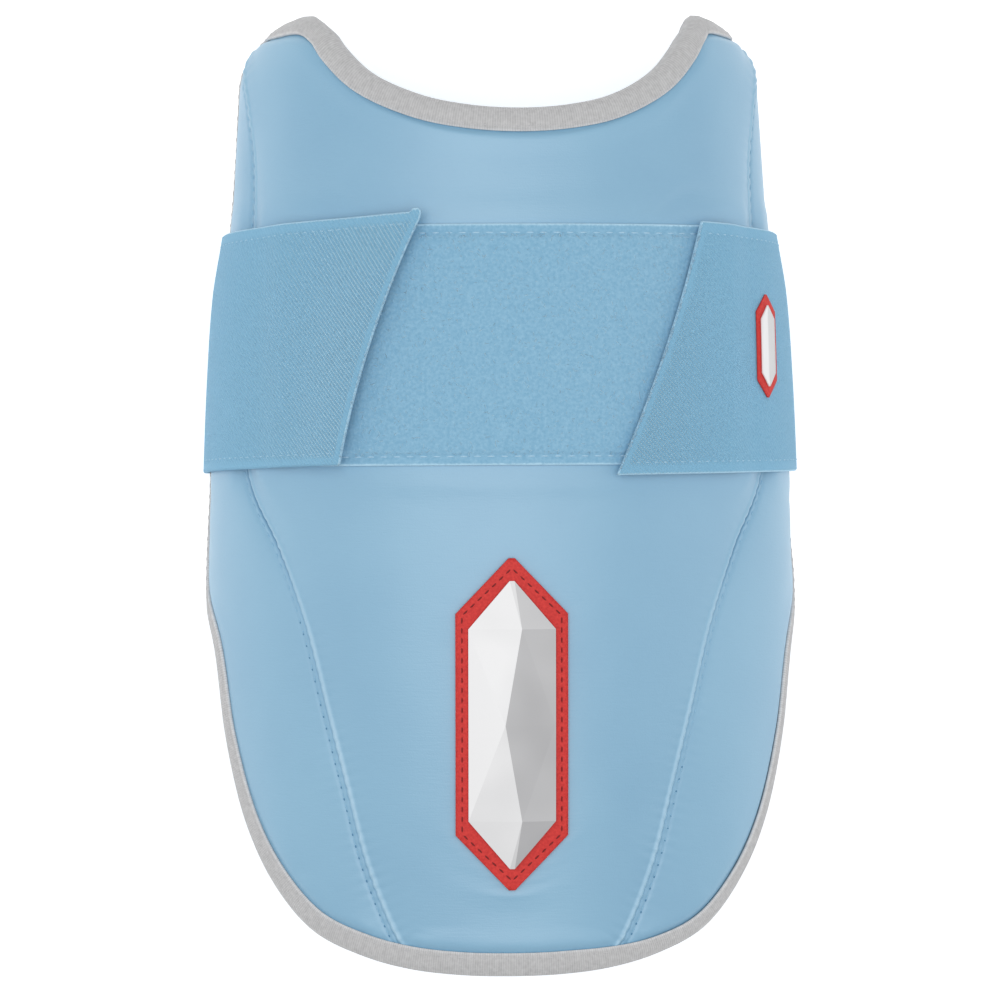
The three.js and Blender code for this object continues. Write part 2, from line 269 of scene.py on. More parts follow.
def wave(tree, pitch, turn=0.0):
    """A wave along a cloth's flat measure, with a pitch in metres, turned by an angle."""
    node = add_node(tree, "TexWave", {"Scale": WAVE_UNIT / pitch, "Distortion": WAVE_BEND, "Detail": 1.0})
    tree.links.new(coordinates(tree, "UV", (1, 1, 1), turn), node.inputs["Vector"])
    return node.outputs["Fac"]


def flat_measure(tree, axis):
    """A cloth's own flat measure in metres: X goes along it and Y across."""
    split = add_node(tree, "SeparateXYZ")
    tree.links.new(coordinates(tree, "UV", (1, 1, 1)), split.inputs["Vector"])
    return split.outputs[axis]


tape, tree, shader = new_finish("binding_tape", roughness=0.82, sheen=0.1)
ribs = wave(tree, RIB_PITCH)
soil = noise(tree, SOIL_SCALE, detail=4.0)
hem = span(tree, flat_measure(tree, "Y"), *HEM_BETWEEN, 1.0, 0.0)
tone = weighted(tree, (ribs, 0.22), (soil, 0.68), (hem, 0.4))
paint(tree, shader, tone, (0.2, TAPE_DEEP), (0.7, TAPE_PALE), (1.0, TAPE_HEM))
bump(tree, shader, soil, SOIL_DEEP, strength=0.5)
bump(tree, shader, ribs, RIB_DEEP, strength=0.6)
print("finish:", tape.name)

# %% [markdown]
# The loop field is a brushed knit: a matt ground of tangled loops with paler and darker specks. The ground
# gets two sizes of noise here; the loops that stand up from it are made as strands further down. The field's
# rim outside its stitches is pressed smooth, with a pale cut edge; the ground carries its distance from that
# edge, in metres.

# %% Loop fabric
LOOP_DEEP = linear(127, 177, 207)
LOOP_PALE = linear(147, 193, 220)
CUT_PALE = linear(184, 224, 246)
STRAND_DEEP = linear(140, 188, 215)
STRAND_PALE = linear(166, 207, 229)
FIELD_CUT, FIELD_SMOOTH = (0.0002, 0.0007), (0.0020, 0.0032)
TANGLE_SCALE, TANGLE_DEEP = 1200, 0.00025
LOOP_SCALE, LOOP_DEPTH = 1900, 0.00016
STRAND_SCALE = 420

loop_ground, tree, shader = new_finish("loop_ground", roughness=0.95, sheen=0.35)
tangle = noise(tree, TANGLE_SCALE, detail=5.0)
border = attribute(tree, "border")
tone = weighted(tree, (tangle, 0.75), (span(tree, border, *FIELD_CUT, 0.5, 0.0), 1.0))
paint(tree, shader, tone, (0.25, LOOP_DEEP), (0.55, LOOP_PALE), (0.85, CUT_PALE))
nap = math_node(tree, "MULTIPLY", tangle, span(tree, border, *FIELD_SMOOTH, 0.15, 1.0))
bump(tree, shader, noise(tree, LOOP_SCALE, detail=3.0), LOOP_DEPTH, strength=0.6)
bump(tree, shader, nap, TANGLE_DEEP, strength=0.7)

strand_finish, tree, shader = new_finish("loop_strand", roughness=0.8, sheen=0.3)
paint(tree, shader, noise(tree, STRAND_SCALE, detail=4.0), (0.35, STRAND_DEEP), (0.72, STRAND_PALE))
print("finishes:", loop_ground.name, strand_finish.name)

# %% [markdown]
# The strap is woven elastic. Fine diagonal ribs cross it, and the warp shows as a faint grid between them.
# Its UV map is the flat band in metres, so the ribs keep their slope round every bend. They stand out most
# towards the left end, and break up into specks towards the right one. All round the band is a smooth border
# that ends in a pale cut edge.

# %% Elastic
ELASTIC_DEEP = linear(106, 165, 202)
ELASTIC_PALE = linear(140, 191, 219)
TWILL_PITCH = 0.0008
TWILL_TURN = math.radians(-45)
WARP_PITCH = 0.0006
RIBBED_BETWEEN, SPECKED_BETWEEN = (0.105, 0.15), (-0.125, -0.158)
STRAP_CUT, STRAP_SMOOTH = (0.0002, 0.0006), (0.0020, 0.0030)
LINT_SCALE, WEAVE_DEEP, WEAVE_MEAN = 1500, 0.0006, 0.55

elastic, tree, shader = new_finish("woven_elastic", roughness=0.85, sheen=0.08)
twill, warp = wave(tree, TWILL_PITCH, TWILL_TURN), wave(tree, WARP_PITCH, -TWILL_TURN)
lint = noise(tree, LINT_SCALE, detail=3.0, output="UV")
border, along_strap = attribute(tree, "border"), flat_measure(tree, "X")
specks = math_node(tree, "MULTIPLY", twill, warp)
left_share = span(tree, along_strap, *RIBBED_BETWEEN, 0.3, 1.25)
right_share = span(tree, along_strap, *SPECKED_BETWEEN, 0.0, 1.0)
ribbed = math_node(tree, "MULTIPLY", weighted(tree, (twill, 0.35), (specks, 0.5)), left_share)
fuzzy = math_node(tree, "MULTIPLY", specks, right_share)
weave = weighted(tree, (ribbed, 0.8), (fuzzy, 0.6), (lint, 0.9))
weave = math_node(tree, "SUBTRACT", weave, WEAVE_MEAN)
weave = math_node(tree, "MULTIPLY", weave, span(tree, border, *STRAP_SMOOTH, 0.45, 1.0))
tone = weighted(tree, (weave, 0.8), (span(tree, border, *STRAP_CUT, 1.0, 0.5), 1.0))
paint(tree, shader, tone, (0.1, ELASTIC_DEEP), (0.75, ELASTIC_PALE), (1.0, CUT_PALE))
bump(tree, shader, weave, WEAVE_DEEP, strength=0.8)
print("finish:", elastic.name)

# %% [markdown]
# The sewn patch has two parts: a red base with a fine felted surface, and a moulded white face whose facets
# carry painted light and shade. Threads are matt and a little paler than the cloth they hold, except the dark
# red ones on the patch. The needle holes get painted shade: pips of a deeper blue of the same kind.

# %% Patch and threads
THREAD_SCALE, THREAD_DEEP = 2500, 0.0001
FELT_SCALE, FELT_DEEP = 1500, 0.0002
WHITE_PAINTED_SHADE, WHITE_PAINTED_LIGHT = linear(176, 176, 178), linear(240, 240, 241)
SWEEP, SWEEP_SCALE = 0.3, 60
MOULD_SCALE, MOULD_DEEP = 1800, 0.00003


def speckled(name, deep, pale, scale=THREAD_SCALE, depth=THREAD_DEEP, roughness=0.7):
    """A finish of two tones and one size of noise."""
    material, tree, shader = new_finish(name, roughness)
    grain = noise(tree, scale, detail=4.0)
    paint(tree, shader, grain, (0.3, linear(*deep)), (0.7, linear(*pale)))
    bump(tree, shader, grain, depth, strength=0.6)
    return material


patch_red = speckled("patch_red", (196, 40, 38), (222, 58, 52), FELT_SCALE, FELT_DEEP)
thread_blue = speckled("thread_blue", (156, 199, 224), (184, 217, 236))
thread_strap = speckled("thread_strap", (146, 193, 220), (174, 211, 232))
thread_cover = speckled("thread_cover", (136, 182, 211), (154, 197, 222))
# Painted shade for the needle holes: one dark pip in each.
hole_painted_shade = speckled("needle_hole_painted_shade", (82, 132, 168), (98, 148, 182), roughness=0.8)
thread_grey = speckled("thread_grey", (184, 184, 186), (210, 210, 211))
thread_red = speckled("thread_red", (108, 18, 20), (140, 26, 28))

# The facet value is painted light and painted shade; the noise varies it slowly at random.
patch_white_painted_light, tree, shader = new_finish("patch_white_painted_light", roughness=0.38)
tone = weighted(tree, (attribute(tree, "painted_facet_light"), 1.0), (noise(tree, SWEEP_SCALE, detail=1.0), SWEEP))
paint(tree, shader, tone, (0.2, WHITE_PAINTED_SHADE), (0.9, WHITE_PAINTED_LIGHT))
bump(tree, shader, noise(tree, MOULD_SCALE), MOULD_DEEP, strength=0.4)
print("finishes: patch and threads")

# %% [markdown]
# ## The form as a flat pattern
# A sewn shell is cut flat and then bent, so every piece here is drawn on the flat pattern first: s is the
# distance round from the crown line and y the distance along the arm, in millimetres. wrap() bends such a
# point onto the form at a height over the outer face. The form is a row of sections; each is a quarter of
# an ellipse on both sides of the crown with a straight wall below. These are the same values as the solids
# have, so the pieces land where the frame is.

# %% Sections of the form
SECTIONS = np.array([
    # y, half width, crown
    (-131.3, 75.4, 53.0), (-71.3, 77.4, 60.0), (-26.3, 78.4, 63.0), (2.7, 77.2, 64.0),
    (28.7, 76.1, 64.2), (52.7, 74.4, 63.8), (70.7, 71.5, 63.0), (88.7, 70.0, 62.0),
    (102.7, 69.2, 61.0), (111.7, 68.3, 60.0), (117.7, 65.2, 59.3), (122.7, 60.2, 58.6),
    (126.7, 53.4, 57.9), (129.7, 46.5, 57.4),
])
WIDTH, CROWN = 1, 2
DROP = 0.68
ARC_STEPS = 240

arc_angles = np.linspace(0, math.pi / 2, ARC_STEPS + 1)
arc_middles = (arc_angles[1:] + arc_angles[:-1]) / 2
arc_steps = np.hypot(np.cos(arc_middles), DROP * np.sin(arc_middles)) * np.diff(arc_angles)
ARC = np.concatenate([[0], np.cumsum(arc_steps)])
QUARTER = ARC[-1]


def section(column, y):
    """One column of the sections at y, smooth through every row."""
    stations, values = SECTIONS[:, 0], SECTIONS[:, column]
    order = np.arange(len(values))
    before, after = np.maximum(order - 1, 0), np.minimum(order + 1, len(values) - 1)
    slope = (values[after] - values[before]) / (stations[after] - stations[before])
    i = np.clip(np.searchsorted(stations, y) - 1, 0, len(values) - 2)
    step = stations[i + 1] - stations[i]
    t = (y - stations[i]) / step
    start = (2 * t**3 - 3 * t**2 + 1) * values[i] + (t**3 - 2 * t**2 + t) * step * slope[i]
    return start + (3 * t**2 - 2 * t**3) * values[i + 1] + (t**3 - t**2) * step * slope[i + 1]


def face_point(s, y):
    half, crown = section(WIDTH, y), section(CROWN, y)
    around = np.abs(s) / half
    angle = np.interp(around, ARC, arc_angles)
    below = np.maximum(around - QUARTER, 0) * half
    z = crown - DROP * half * (1 - np.cos(angle)) - below
    return np.stack([np.sign(s) * half * np.sin(angle), y, z], -1)


def normal_at(s, y, step=0.5):
    across = face_point(s + step, y) - face_point(s - step, y)
    along = face_point(s, y + step) - face_point(s, y - step)
    normal = np.cross(across, along)
    return normal / np.linalg.norm(normal, axis=-1, keepdims=True)


def wrap(s, y, height):
    """Points of the flat pattern bent onto the form, at a height over its outer face."""
    s, y, height = np.broadcast_arrays(*(np.asarray(a, float) for a in (s, y, height)))
    return face_point(s, y) + normal_at(s, y) * height[..., None]


print("form: quarter section", round(QUARTER, 3), "times the half width")

# %% [markdown]
# The finished edge and the two seams are smooth lines through a short table of rows. On the front a row is
# given by the angle of the section, on the straight wall by its height over the table. The left half mirrors
# the right one, but the scoop at the head sits a little to the right of the middle.

# %% Edge and seams
EDGE = [
    # y, then the angle from the crown, or the rise of the wall's edge over the table
    (-125.6, 0, None), (-125.2, 10.7, None), (-123.7, 21.0, None), (-120.6, 31.0, None),
    (-114.3, 43.2, None), (-102.7, 54.4, None), (-87.1, 64.6, None), (-63.7, 74.2, None),
    (-40.3, 81.0, None), (-29.3, None, 7.6), (-21.8, None, 4.4), (-16.3, None, 1.4),
    (-8.3, None, -0.3), (3.7, None, 2.2), (18.7, None, 2.2), (36.7, None, 2.2),
    (54.7, None, 2.2), (70.7, None, 2.2), (81.7, None, -0.3), (91.7, None, 1.0),
    (100.7, None, 1.4), (109.7, None, 1.8), (118.0, None, 3.0), (123.0, None, 6.4),
    (126.4, None, 15.0), (127.6, 74.0, None), (123.4, 53.5, None), (117.9, 43.2, None),
    (110.6, 33.5, None), (104.1, 21.2, None), (101.5, 11.0, None), (100.6, 0, None),
]
SCOOP_SKEW = [1.2, 1.2, 1.5, 2.4, 2.8, 3.0]
SEAM = [
    (-115.3, 23.4, None), (-96.3, 29.6, None), (-75.3, 34.0, None), (-57.3, 37.8, None),
    (-33.3, 43.2, None), (-13.3, 51.4, None), (5.2, 63.0, None), (33.7, 67.0, None),
    (68.7, 69.4, None), (88.7, 72.5, None), (105.7, 77.5, None), (113.2, 84.5, None),
]
SEAM_FOOT_ROW, SEAM_HEAD_ROW = 2, 23
EDGE_TRIM = 3.0
FINE_STEPS = 2400
SIDES = {-1: "left", 1: "right"}


def pattern_point(y, angle, rise):
    half = section(WIDTH, y)
    if rise is None:
        return (half * np.interp(math.radians(angle), arc_angles, ARC), y)
    return (half * QUARTER + section(CROWN, y) - DROP * half - rise, y)


def smooth_line(points, closed, t):
    """Points at the shares t of a smooth line through the given points."""
    points = np.asarray(points, float)
    if closed:
        ringed = np.concatenate([points[-1:], points, points[:2]])
        place = (t % 1.0) * len(points)
    else:
        ringed = np.concatenate([2 * points[:1] - points[1:2], points, 2 * points[-1:] - points[-2:-1]])
        place = t * (len(points) - 1)
    i = np.minimum(place.astype(int), len(ringed) - 4)
    share = (place - i)[:, None]
    a, b, c, d = (ringed[i + k] for k in range(4))
    ab, bc, cd = (np.linalg.norm(q - p, axis=1, keepdims=True) ** 0.5 for p, q in ((a, b), (b, c), (c, d)))
    leave = ((b - a) / ab - (c - a) / (ab + bc) + (c - b) / bc) * bc
    arrive = ((c - b) / bc - (d - b) / (bc + cd) + (d - c) / cd) * bc
    square, cube = 3 * (c - b) - 2 * leave - arrive, 2 * (b - c) + leave + arrive
    return b + leave * share + square * share**2 + cube * share**3


half_rows = np.array([pattern_point(*row) for row in EDGE])
skew = np.concatenate([np.zeros(len(EDGE) - len(SCOOP_SKEW)), SCOOP_SKEW])
right_rows, left_rows = (np.stack([side * half_rows[:, 0] + skew, half_rows[:, 1]], 1) for side in (1, -1))
edge_rows = np.concatenate([right_rows, left_rows[-2:0:-1]])


def edge_at(t, inset):
    """Points of the pattern in from the finished edge; t goes once round from the foot's middle."""
    t = np.asarray(t, float)
    nudge = 1e-4
    ahead = smooth_line(edge_rows, True, t + nudge) - smooth_line(edge_rows, True, t - nudge)
    ahead /= np.linalg.norm(ahead, axis=1, keepdims=True)
    inward = np.stack([-ahead[:, 1], ahead[:, 0]], 1)
    return smooth_line(edge_rows, True, t) + inward * np.asarray(inset, float).reshape(-1, 1)


def seam_line(side):
    ends = edge_at(np.array([SEAM_FOOT_ROW, SEAM_HEAD_ROW]) * side / len(edge_rows), EDGE_TRIM)
    rows = [(side * pattern_point(*row)[0], row[0]) for row in SEAM]
    return smooth_line([ends[0], *rows, ends[1]], False, np.linspace(0, 1, FINE_STEPS + 1))


def lengths_of(line):
    return np.concatenate([[0], np.cumsum(np.linalg.norm(np.diff(line, axis=0), axis=1))])


edge_points = edge_at(np.arange(FINE_STEPS) / FINE_STEPS, 0)
seams = {side: seam_line(side) for side in SIDES}
seam_lengths = {side: lengths_of(line) for side, line in seams.items()}
print(f"edge {lengths_of(edge_points)[-1]:.0f} mm round, seams {seam_lengths[1][-1]:.0f} mm long")

# %% [markdown]
# Distances in the flat pattern decide most of the padding's shape: it is pressed thin where the tape holds
# it and drawn down along the seams, most where the strap pulls. The tape isn't sewn on quite evenly: its
# outer leg is short on the right of the foot and where it turns round the two horns, and the pressed rim
# follows it. A search tree over a line's points finds the nearest one quickly.

# %% Distances and the padded wall
WALL = 8.5
EDGE_OUTER, EDGE_INNER = -1.15, -6.0
EDGE_ROUND = 0.6
PRESS = (5.8, 8.6)
SEAM_SINK, SEAM_REACH = 1.0, 7.0
SINK_MORE, SINK_BETWEEN, HEAD = 0.8, (-45.0, -5.0), (85.0, 110.0)
SHORT, SHORT_FROM, SHORT_TO = 1.6, (0.015, 0.06), (0.12, 0.17)
HORN_SHORT, HORN_FROM, HORN_TO = 2.6, (0.33, 0.355), (0.376, 0.396)


def ease(low, high, value):
    t = np.clip((value - low) / (high - low), 0, 1)
    return t * t * (3 - 2 * t)


def mix(a, b, t):
    return a + (b - a) * t


def search_tree(line):
    tree = KDTree(len(line))
    for i, (s, y) in enumerate(line):
        tree.insert((s, y, 0), i)
    tree.balance()
    return tree


def nearest(tree, s, y):
    """The distance to a line's nearest point, and that point's number."""
    found = [tree.find((a, b, 0)) for a, b in zip(s, y)]
    return np.array([f[2] for f in found]), np.array([f[1] for f in found], int)


edge_tree = search_tree(edge_points)
seam_trees = {side: search_tree(line) for side, line in seams.items()}


def from_seams(s, y):
    return np.minimum(*(nearest(tree, s, y)[0] for tree in seam_trees.values()))


def leg_short(t):
    """How much shorter the tape's outer leg is than usual, at the shares t of the way round."""
    from_foot = np.minimum(t, 1 - t)
    on_horn = HORN_SHORT * ease(*HORN_FROM, from_foot) * (1 - ease(*HORN_TO, from_foot))
    return SHORT * ease(*SHORT_FROM, t) * (1 - ease(*SHORT_TO, t)) + on_horn


def wall_heights(s, y):
    """Heights of the padded wall's two faces, and the distance from the edge as the tape's leg counts it."""
    from_edge, point = nearest(edge_tree, s, y)
    from_tape = from_edge + leg_short(point / FINE_STEPS)
    full = ease(*PRESS, from_tape)
    corner = EDGE_ROUND * (1 - ease(EDGE_TRIM, 2 * EDGE_TRIM, from_edge))
    sink = SEAM_SINK * (1 + SINK_MORE * ease(*SINK_BETWEEN, y)) * (1 - ease(*HEAD, y))
    valley = sink * (1 - ease(0, SEAM_REACH, from_seams(s, y))) * full
    return mix(EDGE_OUTER, 0, full) - corner - valley, mix(EDGE_INNER, -WALL, full) + corner, from_tape


# %% [markdown]
# ## Padded panels
# Each panel starts as a flat grid, laid out on its pattern and wrapped a little inside its true face. Cloth
# with air pressure then lifts the skin where nothing holds it: not under the tape, the strap or the patch,
# and not along the seams. That gives the soft rise of foam under a tight cover, which a plain offset lacks.
# How far a point may move is capped, the result is applied, and one subdivision makes the grid fine enough
# for the sewing.

# %% Helpers for panels
SLACK = 0.6
MOST_RISE = 1.5
SWELL_FRAMES = 20
PRESSURE = 200.0
SKIN_STIFFNESS = 5.0
HELD_EDGE = 7.5
HELD_SEAM = 1.6
SLACK_REACH = 6.0
UNDER_STRAP = (3.5, 73.5)
EMBLEM_Y, EMBLEM_HALF_LONG, EMBLEM_HALF_WIDE, EMBLEM_TIP = -59.3, 43.0, 14.5, 0.8
EMBLEM_POINT = EMBLEM_HALF_LONG / 3
PATCH_MARGIN = 1.0


def new_grid(columns, rows):
    """A unit grid, and where each of its vertices is across and along it, from 0 to 1."""
    bm = bmesh.new()
    bmesh.ops.create_grid(bm, x_segments=columns, y_segments=rows, size=0.5)
    places = np.array([v.co for v in bm.verts])
    return bm, places[:, 0] + 0.5, places[:, 1] + 0.5


def put(verts, points):
    for vertex, point in zip(verts, points * MM):
        vertex.co = point


def thicken(bm, points_below):
    """Extrudes a sheet's face and puts the copy's points below it, so that it has a thickness."""
    order = bm.verts.layers.int.new("order")
    for i, vertex in enumerate(bm.verts):
        vertex[order] = i
    made = bmesh.ops.extrude_face_region(bm, geom=bm.faces[:], use_keep_orig=True)
    below = [g for g in made["geom"] if isinstance(g, bmesh.types.BMVert)]
    put(below, points_below[[vertex[order] for vertex in below]])
    bm.verts.layers.int.remove(order)
    bmesh.ops.recalc_face_normals(bm, faces=bm.faces[:])


def as_mesh(bm, name):
    mesh = bpy.data.meshes.new(name)
    bm.to_mesh(mesh)
    bm.free()
    return mesh


def new_object(bm, name, material):
    mesh = as_mesh(bm, name)
    mesh.shade_smooth()
    mesh.materials.append(material)
    piece = bpy.data.objects.new(name, mesh)
    scene.collection.objects.link(piece)
    return piece


def declare(piece, slot, *nodes):
    """Says what a piece rides on and which solids it stands for; the slot, whose finish it has, is not used.
    """
    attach(piece, "root")
    if nodes:
        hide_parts(*nodes)
    faces = sum(len(face.vertices) - 2 for face in piece.data.polygons)
    print(f"{piece.name}: {faces} triangles")
    return piece


def emblem_width(along):
    """The patch's half width at a distance along it from its middle, as a share of the greatest."""
    taper = (EMBLEM_HALF_LONG - np.abs(along)) / EMBLEM_POINT
    return mix(EMBLEM_TIP / EMBLEM_HALF_WIDE, 1, np.clip(taper, 0, 1))


def freedom(s, y, from_edge):
    """How far a point of the cover is from anything that sews it down or presses it on the foam."""
    along = y - EMBLEM_Y
    patch = np.maximum(np.abs(s) - EMBLEM_HALF_WIDE * emblem_width(along), np.abs(along) - EMBLEM_HALF_LONG)
    strap = np.maximum(UNDER_STRAP[0] - y, y - UNDER_STRAP[1])
    seam = from_seams(s, y) - HELD_SEAM
    return np.minimum.reduce([patch - PATCH_MARGIN, strap, seam, from_edge - HELD_EDGE])


def points_of(mesh):
    flat = np.empty(len(mesh.vertices) * 3)
    mesh.vertices.foreach_get("co", flat)
    return flat.reshape(-1, 3)


def swell(piece, held):
    """Lifts the free skin by air pressure, caps the rise and applies it."""
    piece.vertex_groups.new(name="held").add(np.flatnonzero(held).tolist(), 1.0, "REPLACE")
    before = points_of(piece.data)
    cloth = piece.modifiers.new("padding", "CLOTH")
    cloth.settings.vertex_group_mass = "held"
    cloth.settings.tension_stiffness = SKIN_STIFFNESS
    cloth.settings.compression_stiffness = SKIN_STIFFNESS
    cloth.settings.use_pressure = True
    cloth.settings.uniform_pressure_force = PRESSURE
    cloth.settings.effector_weights.gravity = 0
    cloth.point_cache.frame_end = SWELL_FRAMES
    for step in range(SWELL_FRAMES + 1):
        scene.frame_set(step)
    after = points_of(piece.evaluated_get(bpy.context.evaluated_depsgraph_get()).data)
    piece.modifiers.remove(cloth)
    piece.vertex_groups.clear()
    scene.frame_set(1)
    move = after - before
    far = np.maximum(np.linalg.norm(move, axis=1, keepdims=True), 1e-9)
    cap = MOST_RISE * MM
    piece.data.vertices.foreach_set("co", (before + move / far * cap * np.tanh(far / cap)).ravel())
    print(f"{piece.name}: the skin rises up to {far.max() / MM:.2f} mm before the cap")


def refined(piece):
    """The piece's mesh after one subdivision, in a new bmesh; the piece itself is removed."""
    finer = piece.modifiers.new("finer", "SUBSURF")
    finer.levels = finer.render_levels = 1
    shown = piece.evaluated_get(bpy.context.evaluated_depsgraph_get())
    mesh = bpy.data.meshes.new_from_object(shown)
    bm = bmesh.new()
    bm.from_mesh(mesh)
    bpy.data.objects.remove(piece)
    bpy.data.meshes.remove(mesh)
    return bm


# %% [markdown]
# Along each seam the middle panel's edge is turned under and stands up as a low welt, the side panel dips
# where it is top-stitched, and the thread draws small puckers into both. Near the strap and above it the seam
# is pulled open to a crease. These are heights added along the form's own normal, by the distance from the
# seam and the place along it. With them the cover gets a painted highlight along the welt and painted shade
# in the groove and where the thread sinks in.

# %% Relief along the seams
STITCH_PITCH = 3.1
STITCH_FROM_SEAM = 1.35
WELT, WELT_AT, WELT_WIDE = 0.5, 0.65, 0.6
GROOVE, GROOVE_WIDE = 0.55, 0.42
GROOVE_LEAST, GROOVE_BETWEEN = 0.15, (-35.0, 0.0)
STITCH_SINK, STITCH_WIDE = 0.3, 0.5
PUCKER, PUCKER_REACH = 0.2, 2.4
GROOVE_FADE, STITCH_BEAT, STITCH_SHADE_BEAT, WELT_DRAWN = 0.7, 0.3, 0.4, 0.2
DRAWN_SLOW, DRAWN_QUICK, DRAWN_SWING, DRAWN_MEAN = 7.3, 2.9, 0.5, 0.8
# Strengths of the painted highlight on the welt and of the painted shade at the stitches and in the groove;
# the plain tone is no painted light.
WELT_PAINTED_HIGHLIGHT, STITCH_PAINTED_SHADE, GROOVE_PAINTED_SHADE, PLAIN_TONE = 0.34, 0.06, 0.75, 0.5
RELIEF_FROM_EDGE = (5.0, 8.0)


def bell(value, wide):
    return np.exp(-((value / wide) ** 2))


def seam_relief(s, y, side_panel):
    """What a seam adds to a panel's height, and the painted highlight and painted shade it gives the cover
    there.
    """
    side = np.where(s < 0, -1, 1)
    relief, tone = np.zeros_like(s), np.zeros_like(s)
    for which, tree in seam_trees.items():
        near = side == which
        distance, point = nearest(tree, s[near], y[near])
        along = seam_lengths[which][point]
        beat = np.cos(2 * math.pi * along / STITCH_PITCH)
        drawn = np.sin(along / DRAWN_SLOW + which) * np.sin(along / DRAWN_QUICK) * DRAWN_SWING + DRAWN_MEAN
        groove = bell(distance, GROOVE_WIDE) * mix(GROOVE_LEAST, 1, ease(*GROOVE_BETWEEN, y[near]))
        groove *= 1 - GROOVE_FADE * ease(*HEAD, y[near])
        height = -GROOVE * groove + PUCKER * drawn * beat * np.exp(-distance / PUCKER_REACH)
        # Painted shade in the groove.
        shade = -GROOVE_PAINTED_SHADE * groove
        if side_panel:
            sunk = bell(distance - STITCH_FROM_SEAM, STITCH_WIDE)
            height -= STITCH_SINK * sunk * (1 - STITCH_BEAT + STITCH_BEAT * beat)
            # Painted shade where the thread sinks in.
            shade -= STITCH_PAINTED_SHADE * sunk * (1 - STITCH_SHADE_BEAT - STITCH_SHADE_BEAT * beat)
        else:
            ridge = bell(distance - WELT_AT, WELT_WIDE) * (1 - WELT_DRAWN + WELT_DRAWN * drawn)
            height += WELT * ridge
            # Painted highlight along the welt.
            shade += WELT_PAINTED_HIGHLIGHT * ridge
        relief[near], tone[near] = height, shade
    return relief, tone


def sew_panel(name, material, columns, rows, pattern, side_panel):
    """A padded panel from its pattern: pattern(u, v) gives s and y."""
    bm, u, v = new_grid(columns, rows)
    s, y = pattern(u, v)
    outer, _, from_edge = wall_heights(s, y)
    free = freedom(s, y, from_edge)
    put(bm.verts, wrap(s, y, outer - SLACK * ease(0, SLACK_REACH, free)))
    layer = bm.verts.layers.float_vector.new("pattern")
    for vertex, a, b in zip(bm.verts, s, y):
        vertex[layer] = (a, b, 0)
    skin = new_object(bm, name + "_skin", material)
    swell(skin, free <= 0)
    bm = refined(skin)
    layer = bm.verts.layers.float_vector["pattern"]
    flat = np.array([vertex[layer] for vertex in bm.verts])
    s, y = flat[:, 0], flat[:, 1]
    _, inner, from_edge = wall_heights(s, y)
    relief, tone = (part * ease(*RELIEF_FROM_EDGE, from_edge) for part in seam_relief(s, y, side_panel))
    lift = normal_at(s, y) * relief[:, None] * MM
    # Each vertex keeps its painted highlight or painted shade as the tone that the cover reads.
    painted_light_layer = bm.verts.layers.float.new("tone")
    for vertex, step, shade in zip(bm.verts, lift, tone):
        vertex.co += Vector(step)
        vertex[painted_light_layer] = PLAIN_TONE + shade
    thicken(bm, wrap(s, y, inner))
    panel = new_object(bm, name, material)
    return panel


# %% [markdown]
# The middle panel has four borders: the two seams, the foot and the scoop. Its grid blends them, so that
# every row and column follows the borders that are nearest to it.

# %% Middle panel
SEAM_GAP = 0.03
END_CROWDING, SEAM_CROWDING = 0.075, 0.135
FRONT_GRID, SIDE_GRID = (56, 165), (24, 165)


def along_line(line, share):
    lengths = lengths_of(line)
    return np.stack([np.interp(share * lengths[-1], lengths, line[:, k]) for k in (0, 1)], 1)


def crowded(share, much):
    """Even shares from 0 to 1, moved closer together towards both ends."""
    return share - much * np.sin(2 * math.pi * share)


foot_share, head_share = SEAM_FOOT_ROW / len(edge_rows), SEAM_HEAD_ROW / len(edge_rows)
foot_line = edge_at(np.linspace(-foot_share, foot_share, FINE_STEPS), EDGE_TRIM)
top_line = edge_at(np.linspace(1 - head_share, head_share, FINE_STEPS), EDGE_TRIM)


def front_pattern(u, v):
    """The pattern between the two seams, the foot and the scoop, with its columns crowded at the seams."""
    u = crowded(u, SEAM_CROWDING)
    across, along = u[:, None], crowded(v, END_CROWDING)[:, None]
    foot, top = along_line(foot_line, u), along_line(top_line, u)
    left, right = along_line(seams[-1], along[:, 0]), along_line(seams[1], along[:, 0])
    corners = mix(mix(foot_line[:1], foot_line[-1:], across), mix(top_line[:1], top_line[-1:], across), along)
    flat = mix(foot, top, along) + mix(left, right, across) - corners
    return flat[:, 0] + mix(SEAM_GAP, -SEAM_GAP, u), flat[:, 1]


front_cover = sew_panel("front_cover", cover, *FRONT_GRID, front_pattern, side_panel=False)
declare(front_cover, "cover", "front_panel")

# %% [markdown]
# The two side panels are mirror images: one grid is ruled from the seam to the edge, with its columns
# crowded towards both, where the sewing is. It stops just short of its two points, which are under the
# tape. The left one counts its columns the other way, because the pressure pushes along the faces' normals
# and those have to point out of the guard.

# %% Side panels
POINT_FOOT, POINT_HEAD = 0.014, 0.003


def side_pattern(side):
    outer_line = edge_at(np.linspace(side * foot_share, side * head_share, FINE_STEPS), EDGE_TRIM)

    def pattern(u, v):
        share = mix(POINT_FOOT, 1 - POINT_HEAD, crowded(v, END_CROWDING))
        out = crowded(u if side > 0 else 1 - u, SEAM_CROWDING)[:, None]
        flat = mix(along_line(seams[side], share), along_line(outer_line, share), out)
        return flat[:, 0] + side * SEAM_GAP * (1 - out[:, 0]), flat[:, 1]

    return pattern


for side, word in SIDES.items():
    side_cover = sew_panel(f"side_cover_{word}", cover, *SIDE_GRID, side_pattern(side), side_panel=True)
    declare(side_cover, "cover", f"side_panel_{word}")

